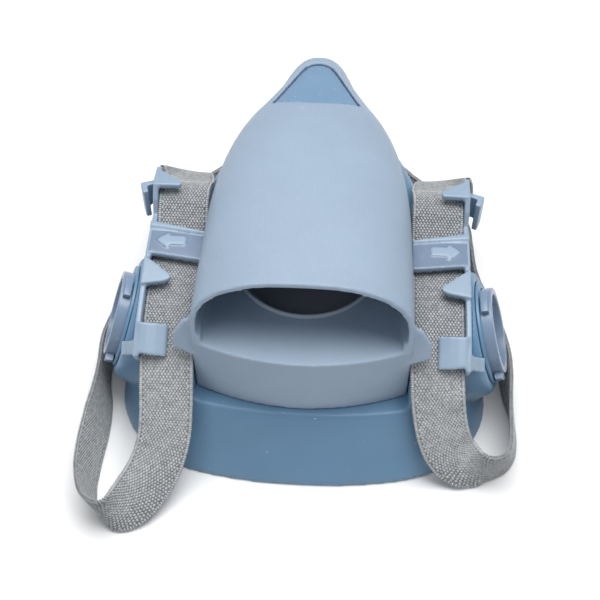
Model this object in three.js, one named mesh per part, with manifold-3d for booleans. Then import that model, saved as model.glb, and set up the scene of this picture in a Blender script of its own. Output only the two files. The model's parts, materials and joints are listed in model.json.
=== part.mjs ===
// Half-mask respirator: a silicone facepiece with two bayonet inlet ports, an exhalation valve under a
// removable exhaust cover, and a drop-down head harness of two elastic straps on a rigid yoke.
// Millimetres, +Z up. The mask rests on its face seal, chin towards -Y and nose towards +Y.
// The origin is the middle of the footprint, on the surface that the mask stands on.
import * as THREE from 'three';
import { mergeVertices } from 'three/addons/utils/BufferGeometryUtils.js';
import Module from 'manifold-3d';

const wasm = await Module();
wasm.setup();

// ---------------------------------------------------------------- driving dimensions
// The mask is drawn about its mirror plane, X = 0, and then shifted so that its footprint is centred.
const FRAME_SHIFT = { x: -0.7, y: -2.85 };
const GAP = 0.3; // between pieces that touch

const SEAL = { wall: 2.6, lipWidth: 9, lipThick: 2.2, top: 41, noseTop: 47, noseEdge: 28, centreY: 4 };
const VALVE = { y: -4, seatZ: 44.2, tubeR: 23.4, tubeWall: 2, tubeTop: 49, flapR: 20.6, flapThick: 0.8,
  hubR: 3, stem: 6.8 };
const COVER = { wall: 2, floorZ: 48, floorThick: 2, holeR: 24, rimR: 25.8, rimTop: 51.2, lipBottom: 25,
  mouthY: -40.5, mouthCrownY: -36, lipBulge: 7.4, halfWidth: 35 };
const PORT = { x: 66, y: -16, z: 31.5, tiltDeg: 18.6, faceR: 14.6, boreR: 12.3, bossR: 21, bossFace: -5,
  length: 17, lugR: 17, flangeR: 17.2, flapR: 11.4, spiderAt: -11.5, stem: 7.2 };
const STRAP = { width: 17, thick: 1.5, armX: 43.7 };
const ARM = { inner: 34.9, outer: 54.2, wall: 1.8, floor: 2, cover: 3.4, coverThick: 2 };
const BAND = { height: 18, thick: 1.8 };

const COLOURS = { silicone: 0x5b86a8, plastic: 0xa7b6ca, webbing: 0x9a9ea3, flap: 0xd9dde2, band: 0x8b929c };

// ---------------------------------------------------------------- small tools
const V = (x, y, z) => new THREE.Vector3(x, y, z);
const smooth = (a, b, t) => THREE.MathUtils.smoothstep(t, a, b);

// A geometry as a closed manifold-3d solid, turned the right way out.
function solid(geometry) {
  const g = geometry.clone();
  for (const name of Object.keys(g.attributes)) if (name !== 'position') g.deleteAttribute(name);
  const m = mergeVertices(g, 1e-4);
  const p = m.attributes.position.array;
  const t = Uint32Array.from(m.index.array);
  let volume = 0;
  for (let i = 0; i < t.length; i += 3) {
    const [a, b, c] = [0, 1, 2].map((k) => V(p[3 * t[i + k]], p[3 * t[i + k] + 1], p[3 * t[i + k] + 2]));
    volume += a.dot(b.cross(c));
  }
  if (volume < 0) for (let i = 0; i < t.length; i += 3) [t[i + 1], t[i + 2]] = [t[i + 2], t[i + 1]];
  return new wasm.Manifold(new wasm.Mesh({ numProp: 3, vertProperties: Float32Array.from(p), triVerts: t }));
}

// A solid as a flat-shaded three.js geometry.
function geometryOf(manifold) {
  const m = manifold.getMesh();
  const p = new Float32Array(m.numVert * 3);
  for (let i = 0; i < m.numVert; i++) p.set(m.vertProperties.subarray(i * m.numProp, i * m.numProp + 3), i * 3);
  const g = new THREE.BufferGeometry();
  g.setAttribute('position', new THREE.BufferAttribute(p, 3));
  g.setIndex(new THREE.BufferAttribute(m.triVerts, 1));
  return g;
}

const union = (...parts) => parts.reduce((a, b) => a.add(b));
const moved = (geometry, x, y, z) => geometry.clone().translate(x, y, z);
const box = (x0, x1, y0, y1, z0, z1) =>
  solid(moved(new THREE.BoxGeometry(x1 - x0, y1 - y0, z1 - z0), (x0 + x1) / 2, (y0 + y1) / 2, (z0 + z1) / 2));
const turned = (part, matrix) => part.transform(matrix.toArray());
const mirrored = (part) => part.mirror([1, 0, 0]);

// A closed solid through rings of points, all of one count, with fan caps at both ends.
function loft(rings) {
  const n = rings[0].length;
  const p = rings.flat().flatMap((v) => [v.x, v.y, v.z]);
  const index = [];
  for (let r = 0; r + 1 < rings.length; r++)
    for (let i = 0; i < n; i++) {
      const [a, b] = [r * n + i, r * n + ((i + 1) % n)];
      index.push(a, b, b + n, a, b + n, a + n);
    }
  [0, rings.length - 1].forEach((r) => {
    const c = rings[r].reduce((s, v) => s.clone().add(v), V(0, 0, 0)).divideScalar(n);
    p.push(c.x, c.y, c.z);
    for (let i = 0; i < n; i++) {
      const [a, b, m] = [r * n + i, r * n + ((i + 1) % n), p.length / 3 - 1];
      index.push(...(r === 0 ? [b, a, m] : [a, b, m]));
    }
  });
  const g = new THREE.BufferGeometry();
  g.setAttribute('position', new THREE.Float32BufferAttribute(p, 3));
  g.setIndex(index);
  return solid(g);
}

// A turned piece: [radius, height] pairs of a closed profile about the Z axis.
const turnedPiece = (profile, segments = 36) =>
  solid(new THREE.LatheGeometry([...profile, profile[0]].map(([r, z]) => new THREE.Vector2(r, z)), segments)
    .rotateX(Math.PI / 2));
const tube = (r0, r1, z0, z1, segments) => turnedPiece([[r0, z0], [r1, z0], [r1, z1], [r0, z1]], segments);
const rod = (r, z0, z1, segments) => turnedPiece([[0, z0], [r, z0], [r, z1], [0, z1]], segments);

// A flat outline of [x, y] points pushed up from z0 to z1.
const prism = (points, z0, z1) =>
  solid(new THREE.ExtrudeGeometry(new THREE.Shape(points.map(([x, y]) => new THREE.Vector2(x, y))),
    { depth: z1 - z0, bevelEnabled: false }).translate(0, 0, z0));

// A side outline of [y, z] points pushed along X from x0 to x1.
const sideProfile = (points, x0, x1) =>
  solid(new THREE.ExtrudeGeometry(new THREE.Shape(points.map(([y, z]) => new THREE.Vector2(y, z))),
    { depth: x1 - x0, bevelEnabled: false })
    .applyMatrix4(new THREE.Matrix4().set(0, 0, 1, x0, 1, 0, 0, 0, 0, 1, 0, 0, 0, 0, 0, 1)));

// ---------------------------------------------------------------- face seal
// The seal's outline on the face, from chin to nose, right half.
const OUTLINE = [[0, -62.5], [24, -61], [43, -56.5], [57, -46.5], [64, -32], [63.5, -14], [58.5, 5], [53.5, 22],
  [49, 37], [43.6, 50], [34.5, 62.5], [24.5, 73.5], [13.4, 81], [0, 84]];
const outlineCurve = new THREE.CatmullRomCurve3(
  [...OUTLINE, ...OUTLINE.slice(1, -1).reverse().map(([x, y]) => [-x, y])].map(([x, y]) => V(x, y, 0)), true);
const AROUND = 44;
const outline = Array.from({ length: AROUND }, (_, i) => outlineCurve.getPointAt(i / AROUND));
// The edge rises from the cheeks to the bridge of the nose, and so does the top.
const edgeZ = (y) => SEAL.noseEdge * smooth(12, 80, y);
const topZ = (y) => SEAL.top + (SEAL.noseTop - SEAL.top) * smooth(36, 66, y);

// How the outline shrinks with height: share of the height, then of the width, the chin side and the nose side.
const SKIN = [[0, 1, 1, 1], [0.1, 0.985, 0.975, 0.992], [0.3, 0.965, 0.905, 0.975], [0.52, 0.94, 0.835, 0.95],
  [0.72, 0.91, 0.765, 0.92], [0.88, 0.85, 0.72, 0.87], [0.97, 0.76, 0.68, 0.79], [1, 0.6, 0.6, 0.66]];

function skinRing([h, kx, kChin, kNose], inset, drop) {
  return outline.map(({ x, y }) => {
    const k = y < SEAL.centreY ? kChin : kNose;
    const p = V(x * kx, SEAL.centreY + (y - SEAL.centreY) * k, 0);
    const inward = V(-x, SEAL.centreY - y, 0).normalize().multiplyScalar(inset);
    p.add(inward);
    p.z = edgeZ(y) + (topZ(y) - drop - edgeZ(y)) * h;
    return p;
  });
}

// Puts a piece made about +Z, with z = 0 at the port's open face, onto the right-hand port.
const portPlace = new THREE.Matrix4().makeRotationY(Math.PI / 2 - THREE.MathUtils.degToRad(PORT.tiltDeg))
  .setPosition(PORT.x, PORT.y, PORT.z);
const onPort = (part) => turned(part, portPlace);

// ---------------------------------------------------------------- exhaust cover's outer form
// Stations along the cover: Y, half width, crown height, shoulder height, foot height.
const HOOD = [[-41.5, 35, 76, 56, 49], [-26, 35, 76, 56, 49], [-8, 34.5, 75.8, 56, 49],
  [10, 33.9, 75.2, 56, 49], [26, 32, 74.2, 55.5, 49], [39, 29.2, 72.6, 54.5, 49.2],
  [50, 25.3, 70.8, 53.5, 49.6], [60, 19.8, 68.8, 53, 50], [69, 15, 67, 53, 50.2],
  [77, 12.1, 65, 53, 50.4], [82.5, 10, 63.2, 52.8, 50.6], [86.4, 7.6, 61.2, 52.4, 50.8],
  [89, 4.2, 58.6, 52, 51]];
const ARCH_STEPS = 16;
const ARCH_POWER = 2.5;

function hoodSection([y, w, crown, shoulder, foot], inset, drop) {
  const half = w - inset;
  const arch = Array.from({ length: ARCH_STEPS + 1 }, (_, i) => {
    const a = Math.PI * (i / ARCH_STEPS);
    const [c, s] = [Math.cos(a), Math.sin(a)];
    const [px, pz] = [Math.sign(c) * Math.abs(c) ** (2 / ARCH_POWER), s ** (2 / ARCH_POWER)];
    return V(half * px, y, shoulder + (crown - inset - shoulder) * pz);
  });
  return [...arch, V(-half, y, foot - drop), V(half, y, foot - drop)];
}
const hoodOuter = loft(HOOD.map((s) => hoodSection(s, 0, 0)));
const hoodInner = loft(HOOD.map((s, i) => {
  const [y, ...rest] = s;
  const along = i === 0 ? y - 10 : y - (COVER.wall * i) / (HOOD.length - 1);
  return hoodSection([along, ...rest], Math.min(COVER.wall, s[1] - 0.5), 12);
}));

// The lip's front line from side to side, moved back by a distance: [x, y] points.
const lipArc = (back) => Array.from({ length: 17 }, (_, i) => {
  const x = -COVER.halfWidth + (COVER.halfWidth * i) / 8;
  return [x, COVER.mouthY + 0.5 - COVER.lipBulge * (1 - (x / COVER.halfWidth) ** 2) + back];
});

// The nose window and the boss that fills it: a rounded triangle.
const noseWindow = (grow) => {
  const shape = new THREE.Shape();
  shape.moveTo(-15.6 - grow, 53.6 - grow);
  shape.quadraticCurveTo(0, 48 - grow, 15.6 + grow, 53.6 - grow);
  shape.quadraticCurveTo(11 + grow, 64, 7 + grow, 73);
  shape.quadraticCurveTo(4.6, 79.6 + grow, 0, 79.6 + grow);
  shape.quadraticCurveTo(-4.6, 79.6 + grow, -7 - grow, 73);
  shape.quadraticCurveTo(-11 - grow, 64, -15.6 - grow, 53.6 - grow);
  return solid(new THREE.ExtrudeGeometry(shape, { depth: 60, bevelEnabled: false, curveSegments: 5 })
    .translate(0, 0, 32));
};

// ---------------------------------------------------------------- harness arm
// The arm's floor follows this line from the lower hook back to the upper guide.
const armLine = new THREE.SplineCurve([[-40, 38.6], [-31, 42.6], [-16, 45.7], [0, 46.8], [12, 46.4], [21, 45.2],
  [30, 43]].map(([y, z]) => new THREE.Vector2(y, z)));
const ARM_STEPS = 9;
// The share of the arm's length at which its floor reaches a given Y.
const armAt = (y) => {
  let u = 0;
  while (u < 1 && armLine.getPointAt(u).x < y) u += 0.005;
  return Math.min(u, 1);
};
// A strip of the arm between two heights over the floor line, and between two shares of its length.
function armStrip(x0, x1, low, high, from = 0, to = 1) {
  const steps = Math.max(2, Math.ceil(ARM_STEPS * (to - from)));
  const samples = Array.from({ length: steps + 1 }, (_, i) => {
    const u = from + ((to - from) * i) / steps;
    const [p, t] = [armLine.getPointAt(u), armLine.getTangentAt(u)];
    return { p, n: new THREE.Vector2(-t.y, t.x) };
  });
  const at = ({ p, n }, h) => [p.x + n.x * h, p.y + n.y * h];
  return sideProfile([...samples.map((s) => at(s, low)), ...samples.map((s) => at(s, high)).reverse()], x0, x1);
}

// A plate in the arm's tangent plane: [x, distance along the arm] corners at a height over the floor.
function armPlate(corners, u, height, thick) {
  const [p, t] = [armLine.getPointAt(u), armLine.getTangentAt(u)];
  const place = new THREE.Matrix4().makeRotationX(Math.atan2(t.y, t.x)).setPosition(0, p.x, p.y);
  return turned(prism(corners, height, height + thick), place);
}

function makeArm() {
  const [x0, x1, w] = [ARM.inner, ARM.outer, ARM.wall];
  const high = ARM.cover;
  const [near, far] = [armAt(-8), armAt(8)]; // the bridge over the strap
  const slant = prism([[x0 - 4, -8.6], [x1 + 1, -5.4], [x1 + 1, 8.4], [x0 - 4, 3.2]], 30, 70);
  const floor = armStrip(x0 + 0.5, x1, -ARM.floor, 0);
  const wall = armStrip(x1 - w, x1, -ARM.floor, high + 1.6);
  const bridge = armStrip(x0, x1, high, high + ARM.coverThick, near, far).intersect(slant);
  const roll = armStrip(x0, x1, high, high + 2.8, near, far)
    .intersect(slant).intersect(slant.translate([0, 11.2, 0]));
  const arrow = armPlate([[41.5, -1.6], [47, -1.6], [47, -3], [51, 0], [47, 3], [47, 1.6], [41.5, 1.6]],
    armAt(-0.4), high + ARM.coverThick - 0.3, 0.75);
  const fin = armPlate([[x1, 6], [x1, -5.6], [46.4, -4.2], [44.4, -3], [44.8, -1.2]], armAt(-12.8), high + 0.4, 2.2);
  const hook = armStrip(x1 - 8.6, x1, high, high + 1.8, armAt(-38), armAt(-28));
  const hookCurl = armPlate([[x1 - 10.6, 0.4], [x1 - 1, 0.4], [x1 - 1, -1.6], [x1 - 10.6, -3.4]], armAt(-38), high + 0.2, 2.2);
  const tail = turned(box(-1, 5.4, -1, 5, -1, 1),
    new THREE.Matrix4().makeRotationY(0.75).setPosition(x1 - 0.6, -39.5, 42.4));
  // The upper guide: a riser on the wall, with a fin over the strap and a tab on its outer side.
  const riser = sideProfile([[9, 45], [14.5, 56], [17.6, 59.5], [21, 60.2], [27.4, 59.2], [29.2, 53], [29, 43.6],
    [20, 44.6]], x1 - w, x1);
  const finTilt = new THREE.Matrix4().makeRotationX(-0.12).setPosition(0, 17.6, 58.3);
  const upperFin = turned(prism([[x1, 0], [x1, 9.4], [45.2, 3], [44.4, 1.6], [44.8, 0.2]], 0, 2), finTilt);
  const tabPlace = new THREE.Matrix4().makeRotationZ(-0.35).setPosition(x1 - 0.6, 24.6, 46);
  const tab = turned(union(box(0, 6, -1, 1, -1, 9), box(4.4, 6.4, -4, 1, -3.4, 9)), tabPlace);
  return union(floor, wall, bridge, roll, arrow, fin, hook, hookCurl, tail, riser, upperFin, tab);
}

// ---------------------------------------------------------------- pieces
const armRight = makeArm();
const armRoom = union(armStrip(ARM.inner - 4, ARM.outer + GAP, -ARM.floor - GAP, 12),
  box(ARM.outer - ARM.wall - GAP, ARM.outer + GAP, 12, 30, 41.5, 64));

function makeHarnessYoke() {
  const channel = armStrip(ARM.inner, ARM.outer - ARM.wall, 0, 3);
  const arms = union(armRight, mirrored(armRight));
  const bridge = prism([[-38, -24], [-30, -31], [30, -31], [38, -24], [38, 12], [29, 26.4], [-29, 26.4], [-38, 12]], 44, 46.4);
  const hole = rod(VALVE.tubeR + 0.6, 30, 60, 32).translate([0, VALVE.y, 0]);
  return arms.add(bridge.subtract(union(channel, mirrored(channel)))).subtract(hole);
}

function makeFaceSeal() {
  const body = loft(SKIN.map((s) => skinRing(s, 0, 0)));
  const boss = onPort(turnedPiece([[0, -26], [PORT.bossR + 2, -26], [PORT.bossR + 0.6, -9],
    [PORT.bossR - 0.6, -6], [PORT.bossR - 2.6, PORT.bossFace], [0, PORT.bossFace]], 32));
  const noseColumn = noseWindow(0).intersect(union(hoodOuter.translate([0, 0, -GAP]), box(-20, 20, 50, 82, 44, 52)));
  const nosePad = prism([[-18, 50], [18, 50], [13, 64], [8, 75], [3, 80.6], [-3, 80.6], [-8, 75], [-13, 64]], 36, 49.4);
  const cavity = loft(SKIN.map((s, i) => skinRing([i === 0 ? 0.07 : s[0], ...s.slice(1)], SEAL.wall, SEAL.wall)));
  const mouth = loft([-0.3, 0.3].map((h) => skinRing([h, 0.985, 0.975, 0.99], SEAL.lipWidth, SEAL.wall)));
  const sleeveEnd = -PORT.length + 0.8 + GAP;
  const collarEnd = -PORT.length - 1.2 - GAP;
  const portRoom = onPort(union(rod(PORT.flangeR + 0.6, collarEnd, sleeveEnd, 32),
    rod(PORT.faceR + GAP, collarEnd, 5, 32), rod(PORT.boreR + 1, -50, collarEnd + 1, 32)));
  const sideRoom = box(COVER.halfWidth - COVER.wall - GAP, COVER.halfWidth + GAP, -60, -29.7, COVER.lipBottom - GAP, 60);
  const valveHole = rod(VALVE.tubeR + GAP, 20, 60, 32).translate([0, VALVE.y, 0]);
  const land = box(-38.4, 38.4, -48, 27, SEAL.top, 60);
  const lipRoom = prism([...lipArc(-GAP), ...lipArc(COVER.wall + GAP).reverse()], COVER.lipBottom - GAP, 60);
  const lipFront = prism([...lipArc(-20), ...lipArc(0).reverse()], COVER.lipBottom - GAP, 60);
  const bodies = union(body, boss, mirrored(boss), noseColumn, nosePad);
  const inner = cavity.add(mouth).subtract(union(...[1, -1].map((s) => {
    const sleeve = onPort(rod(PORT.bossR - 0.8, sleeveEnd, 0, 32));
    return s > 0 ? sleeve : mirrored(sleeve);
  })));
  const wall = 2.2;
  const keep = union(box(-41, 41, -46, 27, SEAL.top - SEAL.wall, 90),
    prism([...lipArc(-30), ...lipArc(COVER.wall + GAP + wall).reverse()], COVER.lipBottom - GAP - wall, 90),
    ...[1, -1].map((side) => {
      const room = box(COVER.halfWidth - COVER.wall - GAP - wall, ARM.outer, -60, -27,
        COVER.lipBottom - GAP - wall, 90).add(armStrip(ARM.inner - 4, ARM.outer + wall, -ARM.floor - GAP - wall, 20));
      return side > 0 ? room : mirrored(room);
    }));
  return bodies.subtract(inner.subtract(keep)).subtract(union(land, lipRoom, lipFront, sideRoom, mirrored(sideRoom)))
    .subtract(union(portRoom, mirrored(portRoom)))
    .subtract(union(armRoom, mirrored(armRoom)))
    .subtract(valveHole);
}

function makeFrontInsert() {
  const { tubeR: r, tubeWall: w } = VALVE;
  const ring = turnedPiece([[r - w, 34.8], [r + 0.4, 34.8], [r + 0.9, 35.4], [r, 35.9], [r, SEAL.top + GAP],
    [r + 4.6, SEAL.top + GAP], [r + 4.6, 43.4], [r, 43.4], [r, VALVE.tubeTop], [r - w, VALVE.tubeTop]], 32);
  const spoke = box(0, r - 1, -1, 1, 42.2, VALVE.seatZ - GAP);
  const spokes = [0, 1, 2, 3].map((i) => spoke.rotate([0, 0, 45 + 90 * i]));
  const hub = tube(1.6, VALVE.hubR, 41.8, VALVE.seatZ - GAP, 20);
  const bore = rod(1.6, 30, 60, 20);
  return union(ring, ...spokes, hub).subtract(bore).translate([0, VALVE.y, 0]);
}

// Clipped on the barrel's lower bead, it clamps the silicone from the inside.
const makeRetainingRing = () =>
  tube(VALVE.tubeR + GAP, VALVE.tubeR + 4.2, 36.2, SEAL.top - SEAL.wall - GAP, 32).translate([0, VALVE.y, 0]);

// A mushroom flap: a thin disc with a stem and a barb through the hub of its seat, long enough to let it lift.
function makeFlap(radius, thick, stem) {
  return turnedPiece([[0, -stem], [1.5, -stem], [2.1, -stem + 1.2], [1.25, -stem + 1.6], [1.25, 0], [radius, 0],
    [radius, thick * 0.6], [radius * 0.5, thick], [0, thick + 0.5]], 32);
}

function makeExhaustCover() {
  const shell = hoodOuter.subtract(hoodInner);
  const lean = Math.atan2(COVER.mouthCrownY - COVER.mouthY, 26);
  const mouthCut = turned(box(-60, 60, -60, 0, -40, 60),
    new THREE.Matrix4().makeRotationX(-lean).setPosition(0, COVER.mouthY, 50));
  const front = lipArc(0);
  const lip = prism([...front, ...lipArc(COVER.wall).reverse()], COVER.lipBottom, 50);
  const side = sideProfile([[COVER.mouthY + 0.5, COVER.lipBottom], [-36, COVER.lipBottom], [-33, 36], [-30, 52],
    [COVER.mouthY + 0.5, 52]], COVER.halfWidth - COVER.wall, COVER.halfWidth);
  const floorTop = COVER.floorZ + COVER.floorThick;
  const floor = prism([...front, [32.9, 8], [31.2, 24], [26, 38], [-26, 38], [-31.2, 24], [-32.9, 8]],
    COVER.floorZ, floorTop);
  const rim = turnedPiece([[COVER.holeR, COVER.floorZ], [COVER.rimR, COVER.floorZ], [COVER.rimR, floorTop + 0.6],
    [COVER.rimR - 0.8, COVER.rimTop], [COVER.holeR, COVER.rimTop]], 32).translate([0, VALVE.y, 0]);
  const hole = rod(COVER.holeR, 30, 60, 32).translate([0, VALVE.y, 0]);
  const wing = turned(prism([[COVER.halfWidth - 1.5, -1], [COVER.halfWidth + 2.6, 0], [COVER.halfWidth + 6, 5],
    [COVER.halfWidth + 6, 10.5], [COVER.halfWidth - 1.5, 13.5]].map(([x, y]) => [x, -y]), 0, 1.8),
    new THREE.Matrix4().makeRotationX(1.06).setPosition(0, -34, 55.5));
  return union(shell.subtract(mouthCut), lip, side, mirrored(side), floor).subtract(hole)
    .add(union(rim, wing, mirrored(wing)))
    .subtract(noseWindow(0.35));
}

function makePortCollar() {
  const { faceR: r, boreR: b, flangeR: f, length: l } = PORT;
  const ring = turnedPiece([[b, -l - 1.2], [f, -l - 1.2], [f, -l + 0.8], [r, -l + 0.8], [r, -0.6], [r - 0.6, 0],
    [b + 0.4, 0], [b, -0.4]], 32);
  const lug = tube(r - 0.6, PORT.lugR, -3.3, -0.9, 60).intersect(prism([[0, 0], [30, 7], [30, -7]], -10, 5));
  const lugs = [60, 180, 300].map((a) => lug.rotate([0, 0, a]));
  const spoke = box(0, b + 1, -0.9, 0.9, PORT.spiderAt, PORT.spiderAt + 1.8);
  const spokes = [0, 120, 240].map((a) => spoke.rotate([0, 0, a]));
  const hub = tube(1.6, 2.8, PORT.spiderAt, PORT.spiderAt + 2.6, 20);
  const bore = rod(1.6, PORT.spiderAt - 1, PORT.spiderAt + 4, 20);
  return onPort(union(ring, ...lugs, ...spokes, hub).subtract(bore));
}
const makePortGasket = () => onPort(turnedPiece([[PORT.faceR + GAP, PORT.bossFace + GAP], [PORT.bossR - 3.4,
  PORT.bossFace + GAP], [PORT.bossR - 3.8, PORT.bossFace + 1.3], [PORT.faceR + GAP, PORT.bossFace + 1.3]], 32));
// The inlet flap lies on the inner side of its spider, with its stem pointing out.
const makeInletFlap = () => onPort(makeFlap(PORT.flapR, 0.8, PORT.stem).rotate([180, 0, 0])
  .translate([0, 0, PORT.spiderAt - GAP]));

// ---------------------------------------------------------------- straps and rear harness
// A flat band: each row is a point of its middle line and the direction across its width.
function band(rows, width, thick, steps) {
  const middle = new THREE.CatmullRomCurve3(rows.map(([p]) => V(...p)), false, 'centripetal');
  const side = new THREE.CatmullRomCurve3(rows.map(([, s]) => V(...s).normalize()), false, 'centripetal');
  const rings = Array.from({ length: steps + 1 }, (_, i) => {
    const t = i / steps;
    const [p, along] = [middle.getPoint(t), middle.getTangent(t)];
    const s = side.getPoint(t);
    s.addScaledVector(along, -s.dot(along)).normalize();
    const n = along.clone().cross(s).normalize();
    const ring = [[1, 1], [-1, 1], [-1, -1], [1, -1]].map(([a, b]) =>
      p.clone().addScaledVector(s, (a * width) / 2).addScaledVector(n, (b * thick) / 2));
    const lift = Math.max(0, 0.3 - Math.min(...ring.map((c) => c.z))); // it rests on the table, never under it
    return ring.map((c) => c.setZ(c.z + lift));
  });
  return loft(rings);
}

const X = STRAP.armX;
const LIFT = GAP + STRAP.thick / 2; // the strap's middle over the arm's floor
const armRow = (u) => {
  const [p, t] = [armLine.getPointAt(u), armLine.getTangentAt(u)];
  return [[X, p.x - t.y * LIFT, p.y + t.x * LIFT], [1, 0, 0]];
};
// From the cradle slide over the upper guide and along the arm to the hook: the same on both sides.
const slideAt = V(35, 63.4, 9.6); // the middle of the clip that joins the strap to the head cradle
const slideAlong = V(-0.8, 0.6, 0);
const slidePoint = (d) => slideAt.clone().addScaledVector(slideAlong, d).toArray();
const upperRun = [
  ...[-1.2, -5, -9.4].map((d) => [slidePoint(d), [0, 0, 1]]),
  [[46.8, 54, 12.6], [0.1, 0, 1]], [[50.2, 52.2, 19.2], [0.35, 0, 0.93]], [[51.6, 50.8, 26.6], [0.65, -0.05, 0.75]],
  [[50.4, 49.4, 34], [0.9, -0.1, 0.4]], [[47.6, 44.6, 39.8], [1, 0, 0.2]], [[44.8, 37.4, 44.4], [1, 0, 0]],
  [[X, 30.6, 48.6], [1, 0, 0]], [[X, 25.6, 52.8], [1, 0, 0]], [[X, 20.4, 55.2], [1, 0, 0]],
  [[X, 15.6, 54.2], [1, 0, 0]], [[X, 12.2, 51.2], [1, 0, 0]],
  ...[7, 2, -4, -10, -16, -22, -28, -34, -38].map((y) => armRow(armAt(y)))];
// Right side: a short loop that turns on the table beside the cheek, then round the back to the buckle.
const rightLoop = [
  [[44.2, -44.8, 35.8], [1, 0.02, 0]], [[45.4, -48.6, 28], [1, 0.08, 0]], [[47.4, -52.2, 20.4], [0.98, 0.16, 0.06]],
  [[50.4, -54.4, 13.8], [0.92, 0.26, 0.22]], [[54.2, -56, 10], [0.82, 0.28, 0.48]], [[58.4, -57, 8.9], [0.6, 0.2, 0.76]],
  [[62.8, -57.2, 8.9], [0.36, 0.04, 0.93]], [[67, -55.8, 8.9], [0.14, 0, 0.99]], [[70.2, -52.6, 8.9], [-0.04, 0, 1]],
  [[72, -47.4, 8.9], [-0.18, 0, 0.98]], [[72.6, -40.6, 8.9], [-0.22, 0, 0.97]], [[72.4, -32, 8.9], [-0.14, 0, 0.99]],
  [[71.8, -24, 8.9], [0.02, 0, 1]], [[71.3, -16, 8.9], [0.07, 0, 1]], [[70.4, -8, 8.9], [0.03, 0, 1]]];
// Left side: a longer loop that reaches further over the table and twists on its way back.
const leftLoop = [
  [[43.4, -45.8, 35.4], [1, -0.03, 0]], [[43.5, -51.4, 27.6], [1, -0.04, 0.02]], [[44.2, -56.8, 19.4], [1, 0, 0.06]],
  [[46.4, -63, 12.8], [0.97, 0.12, 0.22]], [[50.4, -70.6, 9], [0.84, 0.24, 0.48]], [[55.2, -77, 8.4], [0.6, 0.24, 0.76]],
  [[61.2, -80.2, 8.8], [0.33, 0.04, 0.94]], [[67, -77, 8.8], [0.18, -0.1, 0.97]], [[69.8, -69, 8.6], [0.24, -0.1, 0.95]],
  [[70.4, -59, 8.4], [0.3, 0, 0.93]], [[70, -47, 8.4], [0.32, 0, 0.93]], [[69.8, -35, 8.7], [0.22, 0, 0.95]],
  [[70.8, -25, 8.9], [0.08, 0, 1]], [[71.3, -16, 8.9], [0.07, 0, 1]], [[70.4, -8, 8.9], [0.03, 0, 1]]];
const rearRun = [[68.2, 1, 9], [64.6, 10, 9], [61.4, 22, 9], [60.4, 34, 9], [59.4, 44, 9], [54.6, 54, 9],
  [47, 61.4, 9.2], [39.6, 67.6, 9.6], [33.4, 74, 10], [27.6, 79.4, 10.4], [22.6, 82, 10.6], [18, 82.4, 10.6],
  [11, 82.4, 10.6], [2.2, 82.4, 10.6]].map((p) => [p, [0, 0, 1]]);

const STRAP_STEPS = 104;
const makeStrapRight = () => band([...upperRun, ...rightLoop, ...rearRun], STRAP.width, STRAP.thick, STRAP_STEPS);
const makeStrapLeft = () => mirrored(band([...upperRun, ...leftLoop, ...rearRun], STRAP.width, STRAP.thick, STRAP_STEPS));

// The head cradle's two bands stand folded under the nose, riveted together near their ends.
const CRADLE = [...[1.2, 6, 11, 15.5].map((d) => slidePoint(d).slice(0, 2)), [12, 77.2], [0, 78.6]];
const cradleArc = (out, from) => {
  const half = CRADLE.slice(from).map(([x, y]) => {
    const d = V(x, y - 20, 0).normalize().multiplyScalar(out);
    return [x + d.x, y + d.y];
  });
  return [...half.map(([x, y]) => [-x, y]), ...half.slice(0, -1).reverse()]
    .map(([x, y]) => [[x, y, BAND.height / 2 + 0.6], [0, 0, 1]]);
};
const studPlace = new THREE.Matrix4().makeRotationY(Math.PI / 2)
  .premultiply(new THREE.Matrix4().makeRotationZ(Math.atan2(-slideAlong.x, slideAlong.y)))
  .setPosition(...slidePoint(12));
const studHoles = (part) => {
  const hole = turned(rod(1.8, -12, 12, 20), studPlace);
  return part.subtract(union(hole, mirrored(hole)));
};
const makeCrownBand = () => studHoles(band(cradleArc(0, 0), BAND.height, BAND.thick, 34));
const makeNapeBand = () => studHoles(band(cradleArc(-2.8, 2), BAND.height, BAND.thick, 24));
const makeStud = () => turned(turnedPiece([[0, -5.4], [3.4, -5.4], [4, -4.8], [4, -4], [1.5, -4], [1.5, 1.4], [4, 1.4],
  [4, 2.2], [3.4, 2.8], [0, 2.8]], 20), studPlace);

// The clip takes the strap's end in one pocket and the crown band's end in the other.
function makeCradleSlide() {
  const place = new THREE.Matrix4().makeRotationZ(Math.atan2(slideAlong.y, slideAlong.x)).setPosition(slideAt);
  const body = box(-7.5, 7.2, -2.9, 2.9, -9.3, 10.4);
  const strapPocket = box(-8, -0.8, -1.3, 1.3, -8.8, 8.9);
  const bandPocket = box(0.8, 10, -1.3, 1.3, -9.3, 9.4);
  return turned(body.subtract(union(strapPocket, bandPocket)), place);
}

// The neck clasp: each half has a channel that its strap runs through, and a tongue goes into a slot beside it.
const CLASP = { strapY: 82.4, tongueY: 85.9, y0: 80.4, y1: 88.4, z0: 0.3, z1: 20.9, long: 14 };
const claspChannel = (x0, x1) => box(x0, x1, CLASP.strapY - 1.1, CLASP.strapY + 1.1, 1.8, 19.4);
const claspSlot = (x0, x1, ease) =>
  box(x0, x1, CLASP.tongueY - 1.2 - ease, CLASP.tongueY + 1.2 + ease, 5.5 - ease, 15.5 + ease);
const makeBuckleSocket = () => box(0.5, CLASP.long, CLASP.y0, CLASP.y1, CLASP.z0, CLASP.z1)
  .subtract(union(claspChannel(-1, CLASP.long + 1), claspSlot(-1, 9, GAP)));
const makeBuckleHook = () => box(-CLASP.long, -0.5, CLASP.y0, CLASP.y1, CLASP.z0, CLASP.z1)
  .subtract(claspChannel(-CLASP.long - 1, 1))
  .add(claspSlot(-3, 8.4, 0));

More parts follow.
